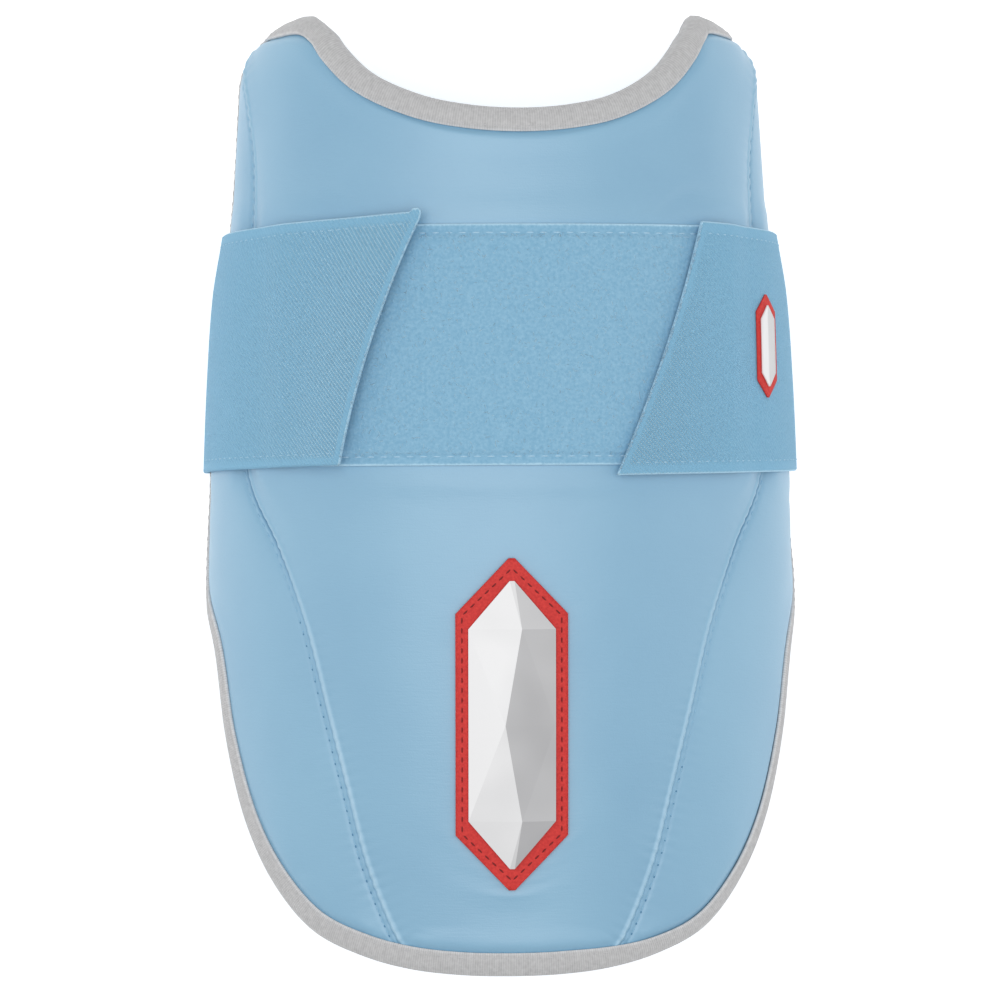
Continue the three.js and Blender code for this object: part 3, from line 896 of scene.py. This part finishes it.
# %% [markdown]
# ## Binding
# The cut edge is wrapped in one length of tape, folded over it and sewn through. Its profile is a middle
# line from the outer leg round the fold to the inner leg, given the tape's thickness to both sides. A grid
# carries that closed profile once round the edge, and its two pairs of borders are welded.

# %% Binding tape
TAPE = 1.1
FOLD_HEIGHT = -3.9
TAPE_MIDDLE = [
    # in from the edge, height
    (6.6, -0.5), (4.7, -0.42), (2.7, -0.55), (1.1, -1.5), (0.55, FOLD_HEIGHT), (1.1, -6.3),
    (2.7, -7.15), (4.7, -7.15), (6.6, -7.15),
]
LEG_END = 0.7
OUTER_LEG = (1.1, 5.0)
PROFILE_STEPS, RING_STEPS = 14, 680
WELD = 1e-6


def lay_flat(bm, along, across):
    """Gives a cloth its own flat measure, along it and across, as a UV map in metres."""
    uv = bm.loops.layers.uv.new("flat")
    for face in bm.faces:
        for loop in face.loops:
            i = loop.vert.index
            loop[uv].uv = (along[i] * MM, across[i] * MM)


def tape_profile():
    """The tape's closed profile, as distances in from the edge and heights, and its flat width."""
    middle = smooth_line(TAPE_MIDDLE, False, np.linspace(0, 1, PROFILE_STEPS))
    ahead = np.gradient(middle, axis=0)
    ahead /= np.linalg.norm(ahead, axis=1, keepdims=True)
    out = np.stack([ahead[:, 1], -ahead[:, 0]], 1)
    half = np.full((PROFILE_STEPS, 1), TAPE / 2)
    half[[0, -1]] *= LEG_END
    ring = np.concatenate([middle - out * half, (middle + out * half)[::-1]])
    return np.concatenate([ring, ring[:1]]), lengths_of(middle)


profile, tape_across = tape_profile()
ring_lengths = lengths_of(np.concatenate([edge_points, edge_points[:1]]))
bm, u, v = new_grid(RING_STEPS, len(profile) - 1)
turn_share = np.interp(u * ring_lengths[-1], ring_lengths, np.linspace(0, 1, FINE_STEPS + 1))
corner = np.rint(v * (len(profile) - 1)).astype(int)
inset, height = profile[corner].T
on_leg = ease(*OUTER_LEG, inset) * (height > FOLD_HEIGHT)
flat = edge_at(turn_share, inset - on_leg * leg_short(turn_share))
points = wrap(flat[:, 0], flat[:, 1], height)
points[:, 2] = np.maximum(points[:, 2], 0)
put(bm.verts, points)
folded = np.concatenate([tape_across, tape_across[::-1], tape_across[:1]])
lay_flat(bm, u * ring_lengths[-1], folded[corner])
bmesh.ops.remove_doubles(bm, verts=bm.verts[:], dist=WELD)
bmesh.ops.recalc_face_normals(bm, faces=bm.faces[:])
binding = declare(new_object(bm, "binding", tape), "tape", "edge_binding")
print(f"tape: {tape_across[-1]:.1f} mm wide, {ring_lengths[-1]:.0f} mm long")

# %% [markdown]
# ## Loop field
# A rectangle of brushed loop fabric is sewn flat across the front. Its rim is pressed by the stitches and
# stays smooth, and the ground between them is a little uneven. One grid is the top face; extruding it and
# putting the copy on the cover makes the thickness.

# %% Loop ground
FIELD_LOW, FIELD_HIGH, FIELD_REACH = 7.7, 70.0, 58.0
FIELD_LIFT, FIELD_TOP = 0.3, 1.25
FIELD_RIM, FIELD_STITCH, FIELD_RISE = 0.8, 2.3, 1.5
FIELD_PRESS, FIELD_PRESS_WIDE = 0.35, 0.6
LUMP, LUMP_ACROSS, LUMP_ALONG, LUMP_BEND = 0.09, (1.9, 1.3), (2.1, 0.9), 2
FIELD_GRID = (150, 84)


def mark_border(bm, distance):
    """Notes each vertex's distance from the cloth's edge, for its finish."""
    layer = bm.verts.layers.float.new("border")
    for vertex, far in zip(bm.verts, distance):
        vertex[layer] = far * MM


def field_rim(s, y):
    """How far a place of the field is from its cut edge."""
    return np.minimum(np.minimum(y - FIELD_LOW, FIELD_HIGH - y), FIELD_REACH - np.abs(s))


def field_top(s, y):
    rim = field_rim(s, y)
    across = np.sin(s * LUMP_ACROSS[0] + np.sin(y * LUMP_ACROSS[1]) * LUMP_BEND)
    along = np.sin(y * LUMP_ALONG[0] + np.sin(s * LUMP_ALONG[1]) * LUMP_BEND)
    pressed = FIELD_PRESS * bell(rim - FIELD_STITCH, FIELD_PRESS_WIDE)
    raised = ease(FIELD_STITCH, FIELD_STITCH + FIELD_RISE, rim)
    return FIELD_RIM + (FIELD_TOP - FIELD_RIM + LUMP * across * along) * raised - pressed


bm, u, v = new_grid(*FIELD_GRID)
s, y = mix(-FIELD_REACH, FIELD_REACH, u), mix(FIELD_LOW, FIELD_HIGH, v)
put(bm.verts, wrap(s, y, field_top(s, y)))
mark_border(bm, field_rim(s, y))
thicken(bm, wrap(s, y, FIELD_LIFT))
loop_fabric = declare(new_object(bm, "loop_fabric", loop_ground), "loop_pile", "loop_field")

# %% [markdown]
# ## Strap
# The elastic is one band. It lies flat behind the arm, turns up round the wall's edge on both sides, and
# climbs over the loop field, where its two ends are cut at a slant. Its path is worked out along the band
# and across it, the same way the solid goes. The left end stands off the field a little, has a narrow turned
# hem, and the hem's upper end sticks out as a small tab. The flat measure runs from the middle of the back
# along each row of the grid, so the weave stays even where the cut is slanted.

# %% Strap
STRAP_LOW, STRAP_HIGH, STRAP_THICK, STRAP_LIFT, STRAP_TURN = 6.2, 68.2, 1.6, 0.4, 5.0
STRAP_WIDE = STRAP_HIGH - STRAP_LOW
CLIMB_FROM, CLIMB_TO, CLIMB = 70.0, 59.5, 1.5
STRAP_ENDS = {
    # side: y of the low and the high corner, how far from the crown line each is, and the cut's bow
    -1: (7.9, 72.9, 43.0, 21.4, 2.3),
    1: (5.0, 70.8, 26.9, 51.3, 1.3),
}
BACK_STEPS, TURN_STEPS, SIDE_STEPS = 40, 12, 90
STRAP_COLUMNS, STRAP_ROWS = 2 * (BACK_STEPS + TURN_STEPS + SIDE_STEPS), 64
RIM_CROWDING = 0.6
END_LIFT = {-1: 3.0, 1: 0.3}
END_LIFT_LONG = 0.28
HEM, HEM_LONG, HEM_FULL = 0.3, 0.03, 0.75
TAB, TAB_LONG, TAB_FULL, TAB_FROM = 0.8, 0.04, 0.7, 0.97
TAB_ROUND = 1.3
SELVEDGE = 0.4
DULL_EDGE, END_BORDER = 0.5, 1.3


def strap_end(side):
    return (np.where(side < 0, a, b) for a, b in zip(STRAP_ENDS[-1], STRAP_ENDS[1]))


def strap_side(side, share, across):
    """The band's side part on the pattern: its distance from the crown line, and y."""
    low, high, low_reach, high_reach, bow = strap_end(side)
    y = mix(mix(STRAP_LOW, low, share), mix(STRAP_HIGH, high, share), across)
    half = section(WIDTH, y)
    start = half * QUARTER + section(CROWN, y) - DROP * half - STRAP_TURN
    tab = TAB * (side < 0) * ease(1 - TAB_LONG, 1 - TAB_FULL * TAB_LONG, share) * ease(TAB_FROM, 1, across)
    corner = np.clip((across - TAB_FROM) / (1 - TAB_FROM), 0, 1)
    pulled = TAB_ROUND * (side < 0) * (1 - np.sqrt(1 - corner**2)) * ease(1 - TAB_LONG, 1, share)
    reach = mix(low_reach, high_reach, across) + 4 * bow * across * (1 - across)
    return mix(start, reach, share) + pulled, y + tab


def strap_shares(path):
    """How far a place on the path is along the flat back, the turn and the side, from 0 to 1 each."""
    step = np.abs(path) * (BACK_STEPS + TURN_STEPS + SIDE_STEPS)
    on_side = np.clip((step - BACK_STEPS - TURN_STEPS) / SIDE_STEPS, 0, 1)
    on_side = on_side * (1 + RIM_CROWDING * (1 - on_side))
    return np.clip(step / BACK_STEPS, 0, 1), np.clip((step - BACK_STEPS) / TURN_STEPS, 0, 1), on_side


def strap_points(path, across, layer):
    """Points of the band: path from -1 at the right end to 1 at the left, layer from its outer face."""
    side = np.where(path > 0, -1, 1)
    on_back, on_turn, on_side = strap_shares(path)
    s, y = strap_side(side, on_side, across)
    centre = section(WIDTH, y) + STRAP_LIFT + STRAP_THICK - STRAP_TURN
    angle, radius = on_turn * math.pi / 2, STRAP_TURN - layer
    x = np.where(on_turn > 0, centre + radius * np.sin(angle), centre * on_back)
    z = np.where(on_turn > 0, STRAP_TURN - radius * np.cos(angle), layer)
    loose = np.where(side < 0, END_LIFT[-1], END_LIFT[1]) * ease(1 - END_LIFT_LONG, 1, on_side)
    hem = HEM * (side < 0) * ease(1 - HEM_LONG, 1 - HEM_FULL * HEM_LONG, on_side) * (layer < STRAP_THICK / 2)
    height = STRAP_LIFT + CLIMB * ease(-CLIMB_FROM, -CLIMB_TO, -s) + loose + hem + STRAP_THICK - layer
    raised = wrap(side * s, y, height)
    return np.where((on_side > 0)[:, None], raised, np.stack([side * x, y, z], 1))


bm, u, v = new_grid(STRAP_COLUMNS, STRAP_ROWS)
path = 2 * u - 1
across = v - RIM_CROWDING * np.sin(2 * math.pi * v) / (2 * math.pi)
rim = np.minimum(np.minimum(v, 1 - v) * STRAP_ROWS, np.minimum(u, 1 - u) * STRAP_COLUMNS)
rounded = SELVEDGE * (rim < 0.5)
strap_outer = strap_points(path, across, rounded)
put(bm.verts, strap_outer)
woven_rows = np.array([lengths_of(row) for row in strap_outer.reshape(STRAP_ROWS + 1, STRAP_COLUMNS + 1, 3)])
along = (woven_rows - woven_rows[:, STRAP_COLUMNS // 2, None]).ravel()
lay_flat(bm, along, across * STRAP_WIDE)
from_ends = np.minimum(woven_rows, woven_rows[:, -1:] - woven_rows).ravel() * END_BORDER
from_low = across * STRAP_WIDE + DULL_EDGE * (along > 0)
mark_border(bm, np.minimum.reduce([from_low, (1 - across) * STRAP_WIDE, from_ends]))
thicken(bm, strap_points(path, across, STRAP_THICK - rounded))
strap_piece = declare(new_object(bm, "elastic_strap", elastic), "elastic", "strap")

# %% [markdown]
# ## Patch
# A plain six-sided patch is sewn below the strap. The red base is a grid narrowed to the outline and
# wrapped. The white face is moulded in flat facets: a few rows with a ridge that swings from side to side,
# cut into triangles, then subdivided so that it can follow the curve of the front. Each facet is painted
# lighter when it faces a light from the upper left and darker when it turns away: painted light and shade.

# %% Patch base
PATCH_THICK = 1.0
GAP = 0.3
BASE_GRID = (24, 72)
BASE_ROUND = 0.25

bm, u, v = new_grid(*BASE_GRID)
along = mix(-EMBLEM_HALF_LONG, EMBLEM_HALF_LONG, v)
s = mix(-1, 1, u) * EMBLEM_HALF_WIDE * emblem_width(along)
rim = np.minimum(np.minimum(u, 1 - u), np.minimum(v, 1 - v)) < WELD
put(bm.verts, wrap(s, EMBLEM_Y + along, GAP + PATCH_THICK - BASE_ROUND * rim))
thicken(bm, wrap(s, EMBLEM_Y + along, GAP))
patch_base = declare(new_object(bm, "patch_base", patch_red), "patch_felt", "emblem_base")

# %% Patch face
FACE_HALF_LONG, FACE_HALF_WIDE, FACE_RIM, FACE_RIDGE = 37.2, 11.1, 0.8, 2.2
FACE_ROWS = [
    # share of the length, place of the ridge across, share of the ridge's height
    (0.0, 0.0, 0.0), (1 / 6, 0.22, 0.62), (0.5, -0.16, 1.0), (5 / 6, 0.22, 0.62), (1.0, 0.0, 0.0),
]
FACE_CUTS = 7
PAINTED_FACET_MIDDLE, PAINTED_FACET_CONTRAST = 0.45, 4
PAINTED_LIGHT_SIDE = Vector((-0.75, 0.35, 0.55)).normalized()

bm, u, v = new_grid(2, len(FACE_ROWS) - 1)
for vertex, across, row in zip(bm.verts, np.rint(u * 2) - 1, np.rint(v * (len(FACE_ROWS) - 1)).astype(int)):
    share, ridge, height = FACE_ROWS[row]
    along = mix(-FACE_HALF_LONG, FACE_HALF_LONG, share)
    width = FACE_HALF_WIDE * float(emblem_width(along * EMBLEM_HALF_LONG / FACE_HALF_LONG))
    place = across if across else ridge
    top = FACE_RIM + (0 if across else (FACE_RIDGE - FACE_RIM) * height)
    vertex.co = (place * width, along, top)
bmesh.ops.triangulate(bm, faces=bm.faces[:])
bm.normal_update()
# Painted light and shade: each facet is lighter the more it faces the light side, and darker the more it
# turns away.
painted_facet_light = bm.faces.layers.float.new("painted_facet_light")
for face in bm.faces:
    slope = Vector((face.normal.x, face.normal.y, 0)) * PAINTED_FACET_CONTRAST
    face[painted_facet_light] = min(max(PAINTED_FACET_MIDDLE + slope.dot(PAINTED_LIGHT_SIDE), 0), 1)
bmesh.ops.subdivide_edges(bm, edges=bm.edges[:], cuts=FACE_CUTS, use_grid_fill=True)
flat = np.array([vertex.co for vertex in bm.verts])
put(bm.verts, wrap(flat[:, 0], EMBLEM_Y + flat[:, 1], PATCH_THICK + 2 * GAP + flat[:, 2]))
thicken(bm, wrap(flat[:, 0], EMBLEM_Y + flat[:, 1], PATCH_THICK + 2 * GAP))
patch_face = declare(new_object(bm, "patch_face", patch_white_painted_light), "patch_face", "emblem_face")
patch_face.data.shade_flat()

# %% [markdown]
# ## Stitches
# Every row of sewing is one short thread repeated. The thread is a sphere drawn out along X, with its two
# ends bent down into the cloth. A row is a line of the pattern: each stitch is set where the form's normal
# meets the cloth, and turned along the line. One mesh holds a whole row, so the rows stay light.

# %% Helpers for stitches
CAST_FROM = 12.0
THREAD_SIDES, THREAD_RINGS = 5, 5
THREAD_BEND = 0.5
THREAD_SUNK = 0.05


def surface(piece, s, y, outward=1):
    """Where the form's normal through points of the pattern meets a piece, from outside or inside."""
    normals = normal_at(s, y) * outward
    starts = face_point(s, y) + normals * CAST_FROM
    hits = [piece.ray_cast(Vector(a * MM), Vector(-n)) for a, n in zip(starts, normals)]
    return np.array([hit[1] for hit in hits]) / MM


def stitch_shape(long, thick):
    """One stitch along X, in millimetres."""
    bm = bmesh.new()
    bmesh.ops.create_uvsphere(bm, u_segments=THREAD_SIDES, v_segments=THREAD_RINGS, radius=0.5)
    bmesh.ops.rotate(bm, verts=bm.verts[:], cent=(0, 0, 0), matrix=Matrix.Rotation(math.pi / 2, 3, "Y"))
    bmesh.ops.scale(bm, verts=bm.verts[:], vec=(long, thick, thick))
    for vertex in bm.verts:
        vertex.co.z -= THREAD_BEND * thick * (2 * vertex.co.x / long) ** 2
    return as_mesh(bm, "stitch")


def repeated(shape, origins, axes):
    """A bmesh with the shape once at every origin, along that place's three axes."""
    bm = bmesh.new()
    for _ in origins:
        bm.from_mesh(shape)
    placed = origins[:, None] + np.einsum("vk,nkj->nvj", points_of(shape), axes)
    put(bm.verts, placed.reshape(-1, 3))
    return bm


def unit(vectors):
    return vectors / np.linalg.norm(vectors, axis=-1, keepdims=True)


def row_places(piece, line, pitch, outward=1, phase=0.5):
    """Origins and axes of the stitches along a line of the pattern, on a piece."""
    lengths = lengths_of(line)
    count = int(lengths[-1] / pitch)
    middles = (np.arange(count) + phase) * lengths[-1] / count
    reach = pitch / 4
    before, after = (np.stack([np.interp(middles + d, lengths, line[:, k]) for k in (0, 1)], 1)
                     for d in (-reach, reach))
    start, end = (surface(piece, flat[:, 0], flat[:, 1], outward) for flat in (before, after))
    ahead = unit(end - start)
    middle = (before + after) / 2
    side = unit(np.cross(normal_at(middle[:, 0], middle[:, 1]) * outward, ahead))
    return (start + end) / 2, np.stack([ahead, side, np.cross(ahead, side)], 1)


def sew(name, material, slot, rows, long, thick):
    """One piece with the stitches of several rows."""
    origins = np.concatenate([row[0] for row in rows])
    axes = np.concatenate([row[1] for row in rows])
    origins = origins + axes[:, 2] * THREAD_SUNK * thick
    shape = stitch_shape(long, thick)
    threads = new_object(repeated(shape, origins, axes), name, material)
    bpy.data.meshes.remove(shape)
    print(f"{name}: {len(origins)} stitches")
    return declare(threads, slot)


# %% [markdown]
# The seams are top-stitched on the side panels; towards the foot, where the cover is tight, the shade in the
# needle's holes is painted as dark pips between the stitches. The tape is sewn through near the edge of its
# legs, so the same row shows outside and inside. The field is sewn along its rim, and the strap along its two
# edges.

# %% Rows of stitches
SEAM_SHOWN = (0.03, 0.93)
HOLES_BELOW = {-1: -30.0, 1: -68.0}
TAPE_ROW, TAPE_PITCH = 5.3, 2.9
FIELD_PITCH = 3.4
STRAP_ROW, STRAP_PITCH = 3.0, 2.4
STRAP_SEWN = (0.12, 0.965)

bpy.context.view_layer.update()
seam_rows, hole_shade_rows = [], []
for side, word in SIDES.items():
    panel = bpy.data.objects[f"side_cover_{word}"]
    line = along_line(seams[side], np.linspace(*SEAM_SHOWN, FINE_STEPS))
    ahead = unit(np.gradient(line, axis=0))
    beside = line + side * STITCH_FROM_SEAM * np.stack([ahead[:, 1], -ahead[:, 0]], 1)
    seam_rows.append(row_places(panel, beside, STITCH_PITCH))
    # Below these heights each needle hole gets a pip of painted shade.
    tight = beside[beside[:, 1] < HOLES_BELOW[side]]
    hole_shade_rows.append(row_places(panel, tight, STITCH_PITCH, phase=0.0))
sew("seam_stitches", thread_cover, "cover", seam_rows, long=2.1, thick=0.42)
sew("seam_hole_painted_shade", hole_painted_shade, "cover", hole_shade_rows, long=0.9, thick=0.45)

turn_share = np.linspace(0, 1, FINE_STEPS)
tape_line = edge_at(turn_share, TAPE_ROW - leg_short(turn_share))
tape_rows = [row_places(binding, tape_line, TAPE_PITCH, outward) for outward in (1, -1)]
tape_stitches = sew("tape_stitches", thread_grey, "tape", tape_rows, long=2.0, thick=0.3)

left, right = -FIELD_REACH + FIELD_STITCH, FIELD_REACH - FIELD_STITCH
low, high = FIELD_LOW + FIELD_STITCH, FIELD_HIGH - FIELD_STITCH
sides = [((left, low), (right, low)), ((right, low), (right, high)),
         ((right, high), (left, high)), ((left, high), (left, low))]
field_rows = [row_places(loop_fabric, np.array(ends), FIELD_PITCH) for ends in sides]
field_stitches = sew("field_stitches", thread_blue, "loop_pile", field_rows, long=2.3, thick=0.5)


def strap_row(side, shares, across):
    s, y = strap_side(side, shares, across)
    return row_places(strap_piece, np.stack([side * s, y], 1), STRAP_PITCH)


inset = STRAP_ROW / STRAP_WIDE
shares = np.linspace(*STRAP_SEWN, FINE_STEPS)
strap_rows = [strap_row(side, shares, across) for side in SIDES for across in (inset, 1 - inset)]
strap_stitches = sew("strap_stitches", thread_strap, "elastic", strap_rows, long=1.3, thick=0.42)

# %% [markdown]
# The patch is held by one row of dark red thread, half way between its cut edge and the white face. The
# row goes round the six corners of a smaller copy of the outline.

# %% Patch stitches
PATCH_ROW, PATCH_PITCH = 1.7, 2.5
POINT_IN, SHOULDER_IN = 1.5, 0.25

sewn_wide, sewn_long = EMBLEM_HALF_WIDE - PATCH_ROW, EMBLEM_HALF_LONG - POINT_IN * PATCH_ROW
shoulder = EMBLEM_HALF_LONG - EMBLEM_POINT - SHOULDER_IN * PATCH_ROW
corners = [(sewn_wide, -shoulder), (sewn_wide, shoulder), (0, sewn_long),
           (-sewn_wide, shoulder), (-sewn_wide, -shoulder), (0, -sewn_long)]
patch_rows = []
for start, end in zip(corners, corners[1:] + corners[:1]):
    line = np.array([start, end]) + (0, EMBLEM_Y)
    patch_rows.append(row_places(patch_base, line, PATCH_PITCH))
patch_stitches = sew("patch_stitches", thread_red, "patch_felt", patch_rows, long=2.0, thick=0.45)

# %% [markdown]
# ## Pile
# Thousands of small loops stand in the field and catch the strap's hooks. One loop is a thin three-sided
# tube spun half round. Each is scaled, leaned and turned at random, with a fixed seed, and they are left
# out under the strap, where they would be pressed flat and unseen.

# %% Loops of the pile
PILE_TRIES = 11000
PILE_MOST = 5900
PILE_CLEAR = 0.8
PILE_FROM_STITCH = 0.7
LOOP_THICK, LOOP_STEPS = 0.11, 5
LOOP_WIDE, LOOP_HIGH = (0.6, 1.5), (0.08, 0.2)
LOOP_LEAN, LOOP_SUNK = 0.45, 0.15

rng = np.random.default_rng(SEED)


def loop_shape():
    """Half a ring over the XY plane, one wide and one high, as a closed tube."""
    bm = bmesh.new()
    ring = bmesh.ops.create_circle(bm, segments=3, radius=LOOP_THICK, cap_ends=False)
    bmesh.ops.translate(bm, verts=ring["verts"], vec=(0.5, 0, 0))
    bmesh.ops.spin(bm, geom=bm.verts[:] + bm.edges[:], cent=(0, 0, 0), axis=(0, 1, 0), dvec=(0, 0, 0),
                   angle=-math.pi, steps=LOOP_STEPS, use_merge=False, use_duplicate=False)
    bmesh.ops.holes_fill(bm, edges=[edge for edge in bm.edges if edge.is_boundary], sides=3)
    bmesh.ops.scale(bm, verts=bm.verts[:], vec=(1, 1, 2))
    bmesh.ops.recalc_face_normals(bm, faces=bm.faces[:])
    return as_mesh(bm, "loop")


def leaning_axes(normals, wide, high, lean):
    """Three random axes at each place: across a loop, through it, and up it with a lean."""
    across = unit(np.cross(normals, rng.normal(size=normals.shape)))
    through = np.cross(normals, across)
    upright = unit(normals + lean * rng.normal(size=normals.shape))
    return np.stack([across * wide[:, None], through * wide[:, None], upright * high[:, None]], 1)


def uncovered(s, y):
    """How far a place of the field is from under the strap's two ends."""
    clear = []
    for side in SIDES:
        low, high = STRAP_ENDS[side][:2]
        clear.append(strap_side(side, 1.0, np.clip((y - low) / (high - low), 0, 1))[0] - side * s)
    return np.minimum(*clear)


s = rng.uniform(-FIELD_REACH, FIELD_REACH, PILE_TRIES)
inset = FIELD_STITCH + PILE_FROM_STITCH
y = rng.uniform(FIELD_LOW + inset, FIELD_HIGH - inset, PILE_TRIES)
shown = np.flatnonzero(uncovered(s, y) > PILE_CLEAR)[:PILE_MOST]
s, y = s[shown], y[shown]
wide, high = rng.uniform(*LOOP_WIDE, len(s)), rng.uniform(*LOOP_HIGH, len(s))
loop = loop_shape()
pile_axes = leaning_axes(normal_at(s, y), wide, high, LOOP_LEAN)
pile_bm = repeated(loop, wrap(s, y, field_top(s, y) - LOOP_SUNK), pile_axes)
pile = declare(new_object(pile_bm, "pile", strand_finish), "loop_pile")
print(f"pile: {len(s)} loops")

# %% [markdown]
# The strap's cut ends fray a little, the right one more. The same loop, narrower and higher, is scattered
# along both cuts.

# %% Frayed ends
FRAY = {-1: 150, 1: 400}
FRAY_ACROSS, FRAY_LAYER = (0.02, 0.98), (0.7, 1.0)
FRAY_WIDE, FRAY_HIGH, FRAY_LEAN = (0.35, 0.9), (0.2, 0.45), 0.8

origins, normals = [], []
for side, count in FRAY.items():
    across = rng.uniform(*FRAY_ACROSS, count)
    path = np.full(count, -float(side))
    below = strap_points(path, across, np.full(count, STRAP_THICK))
    above = strap_points(path, across, np.zeros(count))
    origins.append(mix(below, above, rng.uniform(*FRAY_LAYER, (count, 1))))
    normals.append(unit(above - below))
origins, normals = np.concatenate(origins), np.concatenate(normals)
wide, high = rng.uniform(*FRAY_WIDE, len(origins)), rng.uniform(*FRAY_HIGH, len(origins))
fray_bm = repeated(loop, origins, leaning_axes(normals, wide, high, FRAY_LEAN))
fray = declare(new_object(fray_bm, "fray", thread_blue), "elastic")
bpy.data.meshes.remove(loop)

# %% [markdown]
# ## Small mark
# The right side of the strap carries a small plain mark in the patch's two colours: a thin six-sided base
# with a raised face on it. Both are grids set on the strap and extruded. The face's left half is painted
# lighter than its right half: a painted highlight.

# %% Strap mark
MARK_S, MARK_Y = 75.0, 38.7
MARK_GRID = (8, 24)
MARK_PAINTED_CONTRAST = 0.4
MARK_PARTS = [
    # name, finish, slot, half length, half width, height over the strap below and above
    ("mark_base", patch_red, "patch_felt", 13.5, 4.4, 0.1, 0.5),
    ("mark_face", patch_white_painted_light, "patch_face", 10.6, 3.0, 0.6, 1.0),
]

for name, finish, slot, half_long, half_wide, below, above in MARK_PARTS:
    bm, u, v = new_grid(*MARK_GRID)
    along = mix(-half_long, half_long, v)
    s = MARK_S + mix(-1, 1, u) * half_wide * emblem_width(along * EMBLEM_HALF_LONG / half_long)
    y = MARK_Y + along
    seat, out = surface(strap_piece, s, y), normal_at(s, y)
    painted_facet_light = bm.verts.layers.float.new("painted_facet_light")
    # Painted highlight: the left half of the face is lighter than the right.
    for vertex, place in zip(bm.verts, u):
        vertex[painted_facet_light] = PAINTED_FACET_MIDDLE + MARK_PAINTED_CONTRAST * (place < 0.5)
    put(bm.verts, seat + out * above)
    thicken(bm, seat + out * below)
    declare(new_object(bm, name, finish), slot)

# %% [markdown]
# ## What is cloth
# The tape, the loop field, the strap and the patch base are cloth, each cut flat before it was sewn on. The
# tape's and the strap's flat measures, lengths along the band or round the edge and widths across, come from
# the pattern as UV maps above; this cell only prints the names.

# %% Cloth
print("cloth: tape, loop field, strap and patch base")

# %% [markdown]
# ## Table and sizes
# The table is the stage and not part of the object. The box of the dressed guard is printed, in millimetres.

# %% Table
TABLE_SIZE = 6.0
TABLE_GLOW = 0.5
TABLE_COLOR = (0.9, 0.9, 0.9, 1)

table_white, tree, shader = new_finish("table_white", roughness=0.9)
shader.inputs["Base Color"].default_value = TABLE_COLOR
shader.inputs["Emission Color"].default_value = (1, 1, 1, 1)
shader.inputs["Emission Strength"].default_value = TABLE_GLOW
bm = bmesh.new()
bmesh.ops.create_grid(bm, x_segments=1, y_segments=1, size=TABLE_SIZE / 2)
table = new_object(bm, "table", table_white)
table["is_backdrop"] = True

# %% Sizes
low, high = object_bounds()
print("box:", [round(c / MM, 1) for c in low], [round(c / MM, 1) for c in high])
